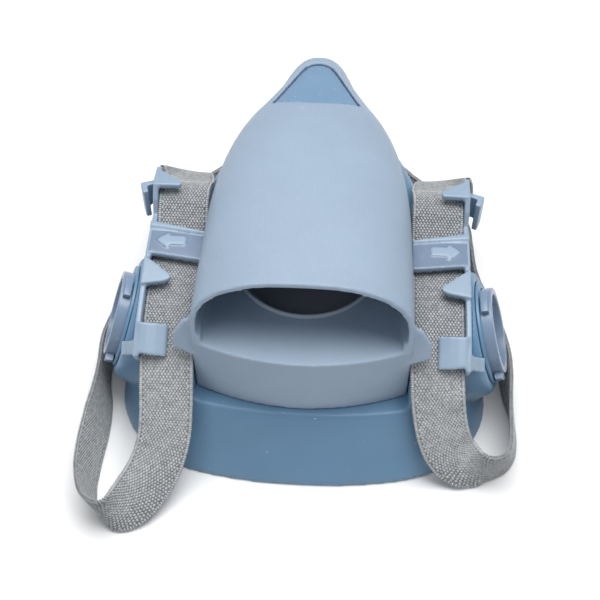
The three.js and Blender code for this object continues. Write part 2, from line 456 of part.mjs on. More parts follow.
const group = new THREE.Group();
group.position.set(FRAME_SHIFT.x, FRAME_SHIFT.y, 0);
const FINISH = {
  silicone: { color: COLOURS.silicone, roughness: 0.42 }, plastic: { color: COLOURS.plastic, roughness: 0.5 },
  webbing: { color: COLOURS.webbing, roughness: 0.95 }, flap: { color: COLOURS.flap, roughness: 0.4 },
  band: { color: COLOURS.band, roughness: 0.6 } };
function add(name, part, finish) {
  const mesh = new THREE.Mesh(geometryOf(part), new THREE.MeshStandardMaterial({ ...FINISH[finish], metalness: 0 }));
  mesh.name = name;
  group.add(mesh);
}

add('face_seal', makeFaceSeal(), 'silicone');
add('front_insert', makeFrontInsert(), 'plastic');
add('insert_retaining_ring', makeRetainingRing(), 'plastic');
add('exhalation_flap', makeFlap(VALVE.flapR, VALVE.flapThick, VALVE.stem).translate([0, VALVE.y, VALVE.seatZ]), 'flap');
add('exhaust_cover', makeExhaustCover(), 'plastic');
add('harness_yoke', makeHarnessYoke(), 'plastic');
for (const [side, place] of [['right', (p) => p], ['left', mirrored]]) {
  add(`port_collar_${side}`, place(makePortCollar()), 'plastic');
  add(`port_gasket_${side}`, place(makePortGasket()), 'silicone');
  add(`inhalation_flap_${side}`, place(makeInletFlap()), 'flap');
}
add('strap_right', makeStrapRight(), 'webbing');
add('strap_left', makeStrapLeft(), 'webbing');
add('crown_band', makeCrownBand(), 'band');
add('nape_band', makeNapeBand(), 'band');
for (const [side, place] of [['right', (p) => p], ['left', mirrored]]) {
  add(`cradle_slide_${side}`, place(makeCradleSlide()), 'band');
  add(`cradle_stud_${side}`, place(makeStud()), 'band');
}

add('neck_buckle_socket', makeBuckleSocket(), 'band');
add('neck_buckle_hook', makeBuckleHook(), 'band');

export default group;
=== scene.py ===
import json
import math

import bmesh
import bpy
from mathutils import Matrix, Vector


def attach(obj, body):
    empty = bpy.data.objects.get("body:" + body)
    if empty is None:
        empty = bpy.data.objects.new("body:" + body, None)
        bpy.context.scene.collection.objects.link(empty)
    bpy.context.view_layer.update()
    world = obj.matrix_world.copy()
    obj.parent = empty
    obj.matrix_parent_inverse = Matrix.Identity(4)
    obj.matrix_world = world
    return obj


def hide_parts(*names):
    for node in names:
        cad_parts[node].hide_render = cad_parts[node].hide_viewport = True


# %% [markdown]
# # A reusable half-mask respirator
# A soft silicone cup carries everything else: a hard exhaust cover over the exhalation valve, a hard
# harness yoke whose two arms guide the straps, and a bayonet port on each cheek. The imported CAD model
# is loaded first. It is the frame: every piece below is made in the same place and moves with its bodies.

# %% Load the frame
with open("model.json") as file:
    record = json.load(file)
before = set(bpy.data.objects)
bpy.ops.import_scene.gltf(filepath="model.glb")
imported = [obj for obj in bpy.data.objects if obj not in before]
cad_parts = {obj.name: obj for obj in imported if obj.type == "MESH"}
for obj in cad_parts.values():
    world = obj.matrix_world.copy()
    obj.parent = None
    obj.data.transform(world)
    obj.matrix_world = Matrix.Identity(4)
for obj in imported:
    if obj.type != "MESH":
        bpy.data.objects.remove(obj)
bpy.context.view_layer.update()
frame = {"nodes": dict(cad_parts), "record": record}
BODY_OF = {node: body for body, nodes in frame["record"]["behaviour"]["bodies"].items() for node in nodes}

# %% [markdown]
# ## The mask's own axes
# A mask is easiest to draw about its mirror plane, in millimetres, with X = 0 in the middle, the chin at
# -Y and the nose at +Y. The frame is in metres and centred on the footprint, straps included, so the
# two differ by a small shift. Each piece is drawn in the mask's axes and moved into the frame once, in
# its mesh, which leaves its object at the origin.

# %% Drawing units
AXES_TO_FOOTPRINT = Vector((-0.7, -2.85, 0.0))
TO_FRAME = Matrix.Scale(0.001, 4) @ Matrix.Translation(AXES_TO_FOOTPRINT)
GAP = 0.3

# %% [markdown]
# ## Small mesh tools
# Four ways of making a closed solid cover almost every moulded part: a loft through rings, a flat
# outline pushed up, a side outline pushed across, and a profile turned about an axis. Merging doubles and
# recalculating normals straight away keeps each of them watertight and facing outwards, which the
# Boolean modifier needs.


# %% Solids from points
def solid(points, faces, name="solid"):
    mesh = bpy.data.meshes.new(name)
    mesh.from_pydata([tuple(p) for p in points], [], faces)
    work = bmesh.new()
    work.from_mesh(mesh)
    bmesh.ops.remove_doubles(work, verts=work.verts, dist=1e-4)
    bmesh.ops.recalc_face_normals(work, faces=work.faces)
    work.to_mesh(mesh)
    work.free()
    obj = bpy.data.objects.new(name, mesh)
    bpy.context.scene.collection.objects.link(obj)
    return obj


def loft(rings):
    """A closed solid through rings of points, all of one count, with a fan at each end."""
    n = len(rings[0])
    points = [Vector(p) for ring in rings for p in ring]
    faces = []
    for r in range(len(rings) - 1):
        for i in range(n):
            a, b = r * n + i, r * n + (i + 1) % n
            faces.append((a, b, b + n, a + n))
    for r in (0, len(rings) - 1):
        points.append(sum((Vector(p) for p in rings[r]), Vector()) / n)
        faces += [(r * n + i, r * n + (i + 1) % n, len(points) - 1) for i in range(n)]
    return solid(points, faces)


def pushed(outline, low, high, to_point):
    n = len(outline)
    points = [to_point(a, b, h) for h in (low, high) for a, b in outline]
    faces = [tuple(range(n)), tuple(range(n, 2 * n))]
    faces += [(i, (i + 1) % n, (i + 1) % n + n, i + n) for i in range(n)]
    return solid(points, faces)


def prism(outline, z0, z1):
    return pushed(outline, z0, z1, lambda x, y, z: (x, y, z))


def side_prism(outline, x0, x1):
    return pushed(outline, x0, x1, lambda y, z, x: (x, y, z))


def block(x0, x1, y0, y1, z0, z1):
    return prism([(x0, y0), (x1, y0), (x1, y1), (x0, y1)], z0, z1)


def turned(profile, segments=96):
    """[radius, height] pairs of a closed profile, turned about the Z axis."""
    n = len(profile)
    points = []
    for s in range(segments):
        a = 2 * math.pi * s / segments
        points += [(r * math.cos(a), r * math.sin(a), z) for r, z in profile]
    faces = []
    for s in range(segments):
        here, ahead = s * n, (s + 1) % segments * n
        for i in range(n):
            j = (i + 1) % n
            faces.append((here + i, here + j, ahead + j, ahead + i))
    return solid(points, faces)


def rod(radius, z0, z1, segments=96):
    return turned([(0, z0), (radius, z0), (radius, z1), (0, z1)], segments)


def both_sides(right):
    """The closed outline whose right half, from end to end, is given."""
    return right + [(-x, y) for x, y in right[::-1] if x]


def bend(a, b, c, t):
    """The point at t, from 0 to 1, on the curve from a to c that leans towards b."""
    return tuple(a * (1 - t) ** 2 + b * (2 * t * (1 - t)) + c * t ** 2)


def rounded(outline, radius, steps=4):
    """The closed outline with an arc of about that radius at each corner."""
    out = []
    n = len(outline)
    for i in range(n):
        before, corner, after = (Vector(outline[(i + k) % n]) for k in (-1, 0, 1))
        r = min(radius, (before - corner).length * 0.45, (after - corner).length * 0.45)
        start = corner + (before - corner).normalized() * r
        end = corner + (after - corner).normalized() * r
        out += [bend(start, corner, end, k / steps) for k in range(steps + 1)]
    return out


# %% [markdown]
# ## Joining, cutting and softening
# Moulded parts are sums and differences of simple solids. Boolean modifiers do that, and the Manifold
# solver is quick and exact on closed meshes. A real moulding has no knife edges, so a joined solid is
# remeshed at a fine voxel and relaxed a little, which leaves every inner and outer corner with a small
# radius, just as a mould does. A Bevel modifier would stumble over the slivers that Booleans leave.


# %% Booleans and soft corners
def applied(obj):
    """Turns the object and its modifiers into a plain mesh."""
    depsgraph = bpy.context.evaluated_depsgraph_get()
    mesh = bpy.data.meshes.new_from_object(obj.evaluated_get(depsgraph))
    old = obj.data
    obj.modifiers.clear()
    obj.data = mesh
    bpy.data.meshes.remove(old)
    return obj


def combined(base, operation, tools):
    for tool in tools:
        step = base.modifiers.new("combine", "BOOLEAN")
        step.operation = operation
        step.object = tool
        step.solver = "MANIFOLD"
    bpy.context.view_layer.update()
    applied(base)
    for tool in tools:
        bpy.data.objects.remove(tool)
    return base


def fused(base, *tools):
    return combined(base, "UNION", tools)


def cut(base, *tools):
    return combined(base, "DIFFERENCE", tools)


def common(base, *tools):
    return combined(base, "INTERSECT", tools)


def moved(obj, matrix):
    obj.data.transform(matrix)
    if matrix.determinant() < 0:
        obj.data.flip_normals()
    return obj


def copied(obj):
    twin = bpy.data.objects.new(obj.name, obj.data.copy())
    bpy.context.scene.collection.objects.link(twin)
    return twin


MIRROR = Matrix.Scale(-1, 4, (1, 0, 0))


def with_mirror(obj):
    """The solid and its mirror image, to be used side by side."""
    return obj, moved(copied(obj), MIRROR)


def softened(obj, voxel, rounds):
    remesh = obj.modifiers.new("voxels", "REMESH")
    remesh.mode = "VOXEL"
    remesh.voxel_size = voxel
    relax = obj.modifiers.new("relax", "SMOOTH")
    relax.factor = 0.5
    relax.iterations = rounds
    return applied(obj)


def cad_copy(node):
    """A merged copy of a CAD node's mesh, in the mask's axes. The node itself is never touched."""
    obj = copied(frame["nodes"][node])
    obj.data.transform(TO_FRAME.inverted())
    work = bmesh.new()
    work.from_mesh(obj.data)
    bmesh.ops.remove_doubles(work, verts=work.verts, dist=1e-3)
    work.to_mesh(obj.data)
    work.free()
    for key in list(obj.keys()):
        del obj[key]
    return obj


def finished(obj, name, node, material, crease=None, stands_for=None):
    """Moves a drawn piece into the frame, dresses it, and ties it to the CAD node it stands for."""
    obj.name = obj.data.name = name
    obj.data.transform(TO_FRAME)
    obj.data.materials.clear()
    obj.data.materials.append(material)
    obj.data.shade_smooth()
    if crease:
        obj.data.set_sharp_from_angle(angle=math.radians(crease))
    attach(obj, BODY_OF[node])
    if stands_for is None:
        stands_for = [node]
    if stands_for:
        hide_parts(*stands_for)
    obj.data.calc_loop_triangles()
    print(name, "triangles", len(obj.data.loop_triangles))
    return obj


# %% [markdown]
# ## Smooth lines
# Straps, arms and the seal's outline follow smooth lines through a few points. A centripetal
# Catmull-Rom spline goes through each point without overshooting, and reading it by length rather than
# by its own parameter spaces things evenly along it.


# %% Splines
def spline(points, t, closed=False, even=False):
    """The point at t, from 0 to 1. With even spacing the ends repeat, otherwise they run on straight."""
    n = len(points)
    spans = n if closed else n - 1
    at = t * spans
    i = min(int(at), spans - 1)
    w = at - i

    def pick(k):
        if closed:
            return points[k % n]
        if 0 <= k < n:
            return points[k]
        end, inner = (points[0], points[1]) if k < 0 else (points[-1], points[-2])
        return end if even else 2 * end - inner

    p = [pick(i + k) for k in (-1, 0, 1, 2)]
    d = [1 if even else max((p[k + 1] - p[k]).length_squared ** 0.25, 1e-4) for k in range(3)]
    first = ((p[1] - p[0]) / d[0] - (p[2] - p[0]) / (d[0] + d[1]) + (p[2] - p[1]) / d[1]) * d[1]
    last = ((p[2] - p[1]) / d[1] - (p[3] - p[1]) / (d[1] + d[2]) + (p[3] - p[2]) / d[2]) * d[1]
    a = 3 * (p[2] - p[1]) - 2 * first - last
    b = 2 * (p[1] - p[2]) + first + last
    return p[1] + w * (first + w * (a + w * b))


def bracket(lengths, want):
    """The two samples on either side of a length, and the share of the way between them."""
    low, high = 0, len(lengths) - 1
    while high - low > 1:
        middle = (low + high) // 2
        low, high = (middle, high) if lengths[middle] <= want else (low, middle)
    return low, high, (want - lengths[low]) / max(lengths[high] - lengths[low], 1e-9)


class Line:
    """A spline that is read by the share of its length."""

    def __init__(self, points, closed=False, even=False, samples=2000):
        vectors = [Vector(p) for p in points]
        self.points = [spline(vectors, k / samples, closed, even) for k in range(samples + 1)]
        self.lengths = [0.0]
        for a, b in zip(self.points, self.points[1:]):
            self.lengths.append(self.lengths[-1] + (b - a).length)
        self.length = self.lengths[-1]

    def span(self, share):
        return bracket(self.lengths, min(max(share, 0), 1) * self.length)

    def at(self, share):
        low, high, part = self.span(share)
        return self.points[low].lerp(self.points[high], part)

    def along(self, share):
        low, high, _ = self.span(share)
        return (self.points[high] - self.points[low]).normalized()


# %% [markdown]
# ## The camera and the light
# The mask is seen from above the chin with a short telephoto lens. Studio light for plain product
# pictures is almost shadowless: a white room, one broad softbox overhead and a much weaker one in front.
# The room is kept dim, so that the mouth of the hood, which the softbox can't reach, stays dark.

# %% Camera, floor and lights
scene = bpy.context.scene
scene.view_settings.view_transform = "Standard"
scene.view_settings.look = "None"

camera_data = bpy.data.cameras.new("camera")
camera_data.sensor_width = 36
camera_data.lens = 64.8
camera_data.clip_start = 0.01
camera = bpy.data.objects.new("camera", camera_data)
scene.collection.objects.link(camera)
eye, target = Vector((0.0103, -0.2402, 0.3266)), Vector((-0.0032, -0.00655, 0.0272))
camera.location = eye
camera.rotation_euler = (target - eye).to_track_quat("-Z", "Y").to_euler()
scene.camera = camera

world = bpy.data.worlds.new("white_room")
scene.world = world
world.use_nodes = True
room = world.node_tree.nodes["Background"]
room.inputs["Color"].default_value = (0.93, 0.96, 1.0, 1)
room.inputs["Strength"].default_value = 0.34


def softbox(name, place, size, power):
    data = bpy.data.lights.new(name, "AREA")
    data.shape = "RECTANGLE"
    data.size, data.size_y = size
    data.energy = power
    lamp = bpy.data.objects.new(name, data)
    scene.collection.objects.link(lamp)
    lamp.location = place
    lamp.rotation_euler = (LIGHTS_AIM - Vector(place)).to_track_quat("-Z", "Y").to_euler()


LIGHTS_AIM = Vector((0, 0, 0.03))
softbox("overhead", (0.04, 0.09, 0.9), (0.9, 0.5), 9.4)
softbox("front_left", (-0.7, -0.6, 0.55), (0.5, 0.5), 0.7)
print("camera distance, m", round((target - eye).length, 3))

# %% [markdown]
# ## Finishes
# Hard plastic, silicone and webbing cover the mask, each in a few colours; some of these are painted light:
# darker copies that are painted shade and paler ones that are painted highlights. Every finish is a
# Principled
# shader with a pattern at its real scale: a fine spark-eroded grain on the hard plastic, with paler edges
# that are a painted highlight, a satin skin with a trace of dust on the silicone, and yarn colours on the
# webbing over a ground darkened as painted shade. Patterns read Object coordinates, which are metres here,
# so a scale of 2500 gives cells of about 0.4 mm. Values that are the same all over are set on the shader
# itself.


# %% Node helpers
def finish(name, colour, roughness, **constants):
    material = bpy.data.materials.new(name)
    material.use_nodes = True
    material.diffuse_color = (*colour, 1)
    tree = material.node_tree
    shader = tree.nodes["Principled BSDF"]
    shader.inputs["Base Color"].default_value = (*colour, 1)
    shader.inputs["Roughness"].default_value = roughness
    for socket, value in constants.items():
        shader.inputs[socket.replace("_", " ")].default_value = value
    return material, tree, shader


def node(tree, kind, **values):
    made = tree.nodes.new(kind)
    for key, value in values.items():
        if key in made.inputs:
            made.inputs[key].default_value = value
        else:
            setattr(made, key, value)
    return made


def noise(tree, scale, detail, roughness=0.5):
    place = tree.nodes.get("place") or node(tree, "ShaderNodeTexCoord", name="place")
    made = node(tree, "ShaderNodeTexNoise", Scale=scale, Detail=detail, Roughness=roughness)
    tree.links.new(place.outputs["Object"], made.inputs["Vector"])
    return made.outputs["Fac"]


def mixed(tree, factor, low, high, start=0.3, end=0.7):
    """A colour that goes from low to high as the factor goes from start to end."""
    ramp = tree.nodes.new("ShaderNodeValToRGB")
    ramp.color_ramp.elements[0].position, ramp.color_ramp.elements[1].position = start, end
    ramp.color_ramp.elements[0].color, ramp.color_ramp.elements[1].color = (*low, 1), (*high, 1)
    tree.links.new(factor, ramp.inputs["Fac"])
    return ramp.outputs["Color"]


def varied(tree, factor, low, high):
    spread = node(tree, "ShaderNodeMapRange")
    spread.inputs["From Min"].default_value, spread.inputs["From Max"].default_value = 0.3, 0.7
    spread.inputs["To Min"].default_value, spread.inputs["To Max"].default_value = low, high
    tree.links.new(factor, spread.inputs["Value"])
    return spread.outputs["Result"]


def bumped(tree, shader, height, depth):
    bump = node(tree, "ShaderNodeBump", Strength=1.0, Distance=depth)
    tree.links.new(height, bump.inputs["Height"])
    tree.links.new(bump.outputs["Normal"], shader.inputs["Normal"])


def layered(tree, base, top, factor, kind="MIX", amount=None):
    """Lays the colour top over base by the factor, and returns the colour."""
    mix = node(tree, "ShaderNodeMix", data_type="RGBA", blend_type=kind)
    if amount is None:
        tree.links.new(factor, mix.inputs[0])
    else:
        mix.inputs[0].default_value = amount
    for value, socket in ((base, mix.inputs[6]), (top, mix.inputs[7])):
        if isinstance(value, tuple):
            socket.default_value = (*value, 1)
        else:
            tree.links.new(value, socket)
    return mix.outputs[2]


# %% Hard plastic, silicone and rubber
def times(colour, share):
    return tuple(min(c * share, 1) for c in colour)


def moulded_plastic(name, colour, roughness, grain, depth):
    """Cloudy colour, with paler edges that are a painted highlight, and a grain of that scale and depth."""
    material, tree, shader = finish(name, colour, roughness, Specular_IOR_Level=0.5)
    cloud = mixed(tree, noise(tree, 45, 3), times(colour, 0.965), times(colour, 1.03))
    # Painted highlight: edges, found by pointiness, are made paler.
    highlight_pointiness = node(tree, "ShaderNodeNewGeometry").outputs["Pointiness"]
    edges = mixed(tree, highlight_pointiness, (0, 0, 0), (1, 1, 1), 0.52, 0.58)
    tree.links.new(layered(tree, cloud, times(colour, 1.12), edges), shader.inputs["Base Color"])
    gloss = varied(tree, noise(tree, 160, 3), roughness - 0.05, roughness + 0.06)
    tree.links.new(gloss, shader.inputs["Roughness"])
    bumped(tree, shader, noise(tree, grain, 2.5, 0.6), depth)
    return material


DUST = (0.55, 0.62, 0.68)


def moulded_silicone(name, colour, roughness):
    """Cloudy colour that light sinks into a little, with a few specks of dust."""
    material, tree, shader = finish(name, colour, roughness, Specular_IOR_Level=0.45,
                                    Subsurface_Weight=0.12, Subsurface_Radius=(0.4, 0.8, 1.0),
                                    Subsurface_Scale=0.003)
    cloud = mixed(tree, noise(tree, 35, 2), times(colour, 0.95), times(colour, 1.06))
    dust = mixed(tree, noise(tree, 900, 1, 0.3), (0, 0, 0), (1, 1, 1), 0.79, 0.82)
    tree.links.new(layered(tree, cloud, DUST, dust), shader.inputs["Base Color"])
    gloss = varied(tree, noise(tree, 120, 4), roughness - 0.06, roughness + 0.08)
    tree.links.new(gloss, shader.inputs["Roughness"])
    bumped(tree, shader, noise(tree, 1800, 3, 0.55), 0.00003)
    return material


SHELL = moulded_plastic("shell_plastic_grained", (0.295, 0.38, 0.485), 0.42, 2300, 0.00022)
ARM_PLASTIC = moulded_plastic("arm_plastic", (0.28, 0.37, 0.475), 0.36, 1800, 0.00005)
# The arm plate's darker colour is painted shade; its lower roughness makes it glossier.
PLATE_SHADE_PLASTIC = moulded_plastic("arm_plate_glossy_painted_shade", (0.18, 0.24, 0.335), 0.24, 1800, 0.00003)
COLLAR_PLASTIC = moulded_plastic("collar_plastic", (0.20, 0.275, 0.385), 0.28, 1400, 0.00002)
# The rim's paler colour is a painted highlight on the cover's own plastic.
RIM_HIGHLIGHT_PLASTIC = moulded_plastic("rim_plastic_glossy_painted_highlight", (0.46, 0.52, 0.60), 0.16, 1400, 0.00001)
INSERT_PLASTIC = moulded_plastic("insert_plastic_smooth", (0.17, 0.20, 0.27), 0.30, 1400, 0.00002)
CRADLE_PLASTIC = moulded_plastic("cradle_plastic_smooth", (0.085, 0.10, 0.125), 0.42, 1500, 0.00003)
SILICONE = moulded_silicone("silicone_blue", (0.132, 0.258, 0.40), 0.38)
# The nose pad's paler silicone is painted light on the cup's own silicone.
PAD_PAINTED_LIGHT_SILICONE = moulded_silicone("silicone_blue_painted_light", (0.17, 0.28, 0.415), 0.38)
FLAP_RUBBER = moulded_silicone("flap_rubber_grey", (0.20, 0.225, 0.26), 0.4)
VALVE_RUBBER = moulded_silicone("valve_rubber_dark", (0.19, 0.19, 0.225), 0.42)
print("finishes", len(bpy.data.materials))


# %% [markdown]
# ## Three Geometry Nodes tools
# A bayonet collar repeats its lugs and spokes round its axis, a grip repeats its ribs along a line, and
# webbing repeats its yarn loops over a cloth. One small tree does each. The first two take the piece to
# repeat as the modifier's own geometry, and the third takes the points of the cloth and makes the loop
# itself. All realise their instances at the end, because an export drops instances.


# %% Repeats round an axis, along a line and over a cloth
def new_tree(name, inputs):
    tree = bpy.data.node_groups.new(name, "GeometryNodeTree")
    tree.interface.new_socket("Geometry", in_out="INPUT", socket_type="NodeSocketGeometry")
    for label, kind, value in inputs:
        socket = tree.interface.new_socket(label, in_out="INPUT", socket_type="NodeSocket" + kind)
        if value is not None:
            socket.default_value = value
    tree.interface.new_socket("Material", in_out="INPUT", socket_type="NodeSocketMaterial")
    tree.interface.new_socket("Geometry", in_out="OUTPUT", socket_type="NodeSocketGeometry")
    return tree, tree.nodes.new("NodeGroupInput"), tree.nodes.new("NodeGroupOutput")


def link(tree, *pairs):
    for out, into in pairs:
        tree.links.new(out, into)


def math_node(tree, operation, a, b):
    made = tree.nodes.new("ShaderNodeMath")
    made.operation = operation
    for value, socket in zip((a, b), made.inputs):
        if isinstance(value, (int, float)):
            socket.default_value = value
        else:
            tree.links.new(value, socket)
    return made.outputs[0]


def end_tree(tree, instances, given, out):
    real = tree.nodes.new("GeometryNodeRealizeInstances")
    paint = tree.nodes.new("GeometryNodeSetMaterial")
    link(tree, (instances, real.inputs[0]), (real.outputs[0], paint.inputs["Geometry"]),
         (given.outputs["Material"], paint.inputs["Material"]), (paint.outputs[0], out.inputs[0]))


def round_axis_tree():
    tree, given, out = new_tree("repeat_round_axis", [("Count", "Int", 3), ("First angle", "Float", 0.0)])
    points = tree.nodes.new("GeometryNodePoints")
    place = tree.nodes.new("GeometryNodeInstanceOnPoints")
    index = tree.nodes.new("GeometryNodeInputIndex").outputs[0]
    step = math_node(tree, "DIVIDE", 2 * math.pi, given.outputs["Count"])
    angle = math_node(tree, "ADD", math_node(tree, "MULTIPLY", index, step), given.outputs["First angle"])
    spin = tree.nodes.new("ShaderNodeCombineXYZ")
    turn = tree.nodes.new("FunctionNodeEulerToRotation")
    link(tree, (given.outputs["Count"], points.inputs["Count"]),
         (points.outputs[0], place.inputs["Points"]),
         (given.outputs["Geometry"], place.inputs["Instance"]), (angle, spin.inputs["Z"]),
         (spin.outputs[0], turn.inputs[0]), (turn.outputs[0], place.inputs["Rotation"]))
    end_tree(tree, place.outputs[0], given, out)
    return tree


def row_tree():
    tree, given, out = new_tree("repeat_in_a_row", [("Count", "Int", 5), ("Step", "Vector", (1, 0, 0))])
    line = tree.nodes.new("GeometryNodeMeshLine")
    place = tree.nodes.new("GeometryNodeInstanceOnPoints")
    link(tree, (given.outputs["Count"], line.inputs["Count"]),
         (given.outputs["Step"], line.inputs["Offset"]), (line.outputs[0], place.inputs["Points"]),
         (given.outputs["Geometry"], place.inputs["Instance"]))
    end_tree(tree, place.outputs[0], given, out)
    return tree


def weave_tree():
    """Yarn loops on points that carry the way up and the way along the cloth."""
    sizes = [("Loop width", "Float", 1.0), ("Loop length", "Float", 1.2), ("Loop height", "Float", 0.3),
             ("Unevenness", "Float", 0.12), ("Seed", "Int", 7)]
    tree, given, out = new_tree("woven_loops", sizes)
    points = tree.nodes.new("GeometryNodeMeshToPoints")
    loop = tree.nodes.new("GeometryNodeMeshUVSphere")
    loop.inputs["Segments"].default_value, loop.inputs["Rings"].default_value = 6, 2
    loop.inputs["Radius"].default_value = 0.5
    place = tree.nodes.new("GeometryNodeInstanceOnPoints")
    turn = None
    for name, axis in (("way_up", "Z"), ("way_along", "Y")):
        field = tree.nodes.new("GeometryNodeInputNamedAttribute")
        field.data_type = "FLOAT_VECTOR"
        field.inputs["Name"].default_value = name
        align = tree.nodes.new("FunctionNodeAlignRotationToVector")
        align.axis = axis
        if turn is not None:
            align.pivot_axis = "Z"
            tree.links.new(turn, align.inputs["Rotation"])
        tree.links.new(field.outputs["Attribute"], align.inputs["Vector"])
        turn = align.outputs[0]
    chance = tree.nodes.new("FunctionNodeRandomValue")
    low = math_node(tree, "SUBTRACT", 1.0, given.outputs["Unevenness"])
    high = math_node(tree, "ADD", 1.0, given.outputs["Unevenness"])
    size = tree.nodes.new("ShaderNodeCombineXYZ")
    for label, axis in (("Loop width", "X"), ("Loop length", "Y"), ("Loop height", "Z")):
        tree.links.new(given.outputs[label], size.inputs[axis])
    sized = tree.nodes.new("ShaderNodeVectorMath")
    sized.operation = "SCALE"
    link(tree, (low, chance.inputs[2]), (high, chance.inputs[3]),
         (given.outputs["Seed"], chance.inputs["Seed"]), (size.outputs[0], sized.inputs[0]),
         (chance.outputs[1], sized.inputs["Scale"]), (given.outputs["Geometry"], points.inputs[0]),
         (points.outputs[0], place.inputs["Points"]),
         (loop.outputs["Mesh"], place.inputs["Instance"]), (turn, place.inputs["Rotation"]),
         (sized.outputs[0], place.inputs["Scale"]))
    end_tree(tree, place.outputs[0], given, out)
    return tree


ROUND_AXIS, IN_A_ROW, WOVEN = round_axis_tree(), row_tree(), weave_tree()


def grown(obj, tree, material, **values):
    """Runs a tree on an object and turns the result into its plain mesh."""
    step = obj.modifiers.new(tree.name, "NODES")
    step.node_group = tree
    sockets = {s.name: s.identifier for s in tree.interface.items_tree if s.in_out == "INPUT"}
    step[sockets["Material"]] = material
    for label, value in values.items():
        step[sockets[label.replace("_", " ")]] = value
    bpy.context.view_layer.update()
    return applied(obj)


print("trees", [tree.name for tree in bpy.data.node_groups])

# %% [markdown]
# ## The exhaust cover
# The pale hood is the mask's face: an arched shell that narrows to the nose, open at a wide mouth above
# the chin, with a lip that hangs down in front. Its arch is not a half circle but a squarer curve with
# full shoulders, a superellipse, so a loft through superellipse sections gives it exactly. The inner wall
# is the same loft, smaller, cut out of the outer one.

# %% The hood's sections
COVER_WALL = 1.8
HALF_WIDTH, MOUTH_Y, MOUTH_CROWN_Y, LIP_BOTTOM, LIP_BULGE = 35.0, -40.5, -36.0, 25.0, 7.4
FLOOR_TOP, FLOOR_UNDER = 50.0, 48.0
VALVE_Y, VALVE_HOLE, RIM_TOP = -4.0, 24.0, 51.2
TO_VALVE = Matrix.Translation((0, VALVE_Y, 0))
# Y, half width, crown height, shoulder height, foot height
HOOD = [(-41.5, 35, 76, 56, 49), (-26, 35, 76, 56, 49), (-8, 34.5, 75.8, 56, 49), (10, 33.9, 75.2, 56, 49),
        (26, 32, 74.2, 55.5, 49), (39, 29.2, 72.6, 54.5, 49.2), (50, 25.3, 70.8, 53.5, 49.6),
        (60, 19.8, 68.8, 53, 50), (69, 15, 67, 53, 50.2), (77, 12.1, 65, 53, 50.4),
        (82.5, 10, 63.2, 52.8, 50.6), (86.4, 7.6, 61.2, 52.4, 50.8), (89, 4.2, 58.6, 52, 51)]
HOOD_VECTORS = [Vector(row) for row in HOOD]
HOOD_STEPS, ARCH_STEPS, SQUARENESS = 66, 56, 2.5


def hood_ring(row, inset=0.0, drop=0.0):
    y, width, crown, shoulder, foot = row
    half = width - inset
    ring = []
    for i in range(ARCH_STEPS + 1):
        a = math.pi * i / ARCH_STEPS
        c, s = math.cos(a), math.sin(a)
        across = math.copysign(abs(c) ** (2 / SQUARENESS), c)
        up = max(s, 0) ** (2 / SQUARENESS)
        ring.append((half * across, y, shoulder + (crown - inset - shoulder) * up))
    return ring + [(-half, y, foot - drop), (half, y, foot - drop)]


def hood_outer():
    return loft([hood_ring(spline(HOOD_VECTORS, k / HOOD_STEPS, even=True)) for k in range(HOOD_STEPS + 1)])


def hood_inner():
    rings = []
    for k in range(HOOD_STEPS + 1):
        row = spline(HOOD_VECTORS, k / HOOD_STEPS, even=True).copy()
        inset = min(COVER_WALL, row[1] - 0.5)
        row[0] -= 10 if k == 0 else COVER_WALL * k / HOOD_STEPS
        rings.append(hood_ring(row, inset, 12))
    return loft(rings)


def lip_arc(back, steps=48):
    """The lip's front line from side to side, moved back by a distance."""
    xs = [-HALF_WIDTH + 2 * HALF_WIDTH * i / steps for i in range(steps + 1)]
    return [(x, MOUTH_Y + 0.5 - LIP_BULGE * (1 - (x / HALF_WIDTH) ** 2) + back) for x in xs]


def nose_window(grow, steps=14):
    """A column with the outline of the window at the nose: a rounded triangle."""
    corner, cheek, top = (15.6 + grow, 53.6 - grow), (7 + grow, 73), (0, 79.6 + grow)
    right = [(corner, (11 + grow, 64), cheek), (cheek, (4.6, top[1]), top)]
    base = ((-corner[0], corner[1]), (0, 48 - grow), corner)
    left = [tuple((-x, y) for x, y in reversed(part)) for part in reversed(right)]
    outline = []
    for part in [base, *right, *left]:
        a, b, c = (Vector(corner) for corner in part)
        outline += [bend(a, b, c, k / steps) for k in range(steps)]
    return prism(outline, 32, 92)


# %% [markdown]
# The floor of the mouth, the lip and the two side cheeks are flat-sided, so they are outlines pushed
# through. A low rounded step runs along each inner corner of the mouth and stiffens the wall there.
# The two small wings beside the mouth are where fingers pull the cover off. The rim round the valve's hole
# is turned on its own, because softening would blunt such a thin ring, and its paler colour is a painted
# highlight on the cover's own plastic.


# %% The exhaust cover
def mouth_step():
    """The step between the mouth's floor and its right wall, from the mouth inwards."""
    width, top, under, steps = 1.4, FLOOR_TOP + 4, FLOOR_TOP - 1, 12
    rings = []
    for k in range(steps + 1):
        y = HOOD[0][0] + 48 * k / steps
        wall = HALF_WIDTH - 0.5 * max(0, (y + 26) / 18) - COVER_WALL
        arc = [(wall - width + width * math.sin(a), top - width * math.cos(a))
               for a in [math.pi / 2 * i / 8 for i in range(9)]]
        outline = arc + [(wall + 0.6, FLOOR_TOP + width), (wall + 0.6, under), (wall - width, under)]
        rings.append([(x, y, z) for x, z in outline])
    return loft(rings)


def make_wing():
    edge = HALF_WIDTH - 1.5
    outline = [(edge, 1), (edge + 4.1, 0), (edge + 7.5, -5), (edge + 7.5, -10.5), (edge, -13.5)]
    place = Matrix.Translation((0, -34.5, 55.2)) @ Matrix.Rotation(1.2, 4, "X")
    return moved(prism(outline, 0, 1.8), place)


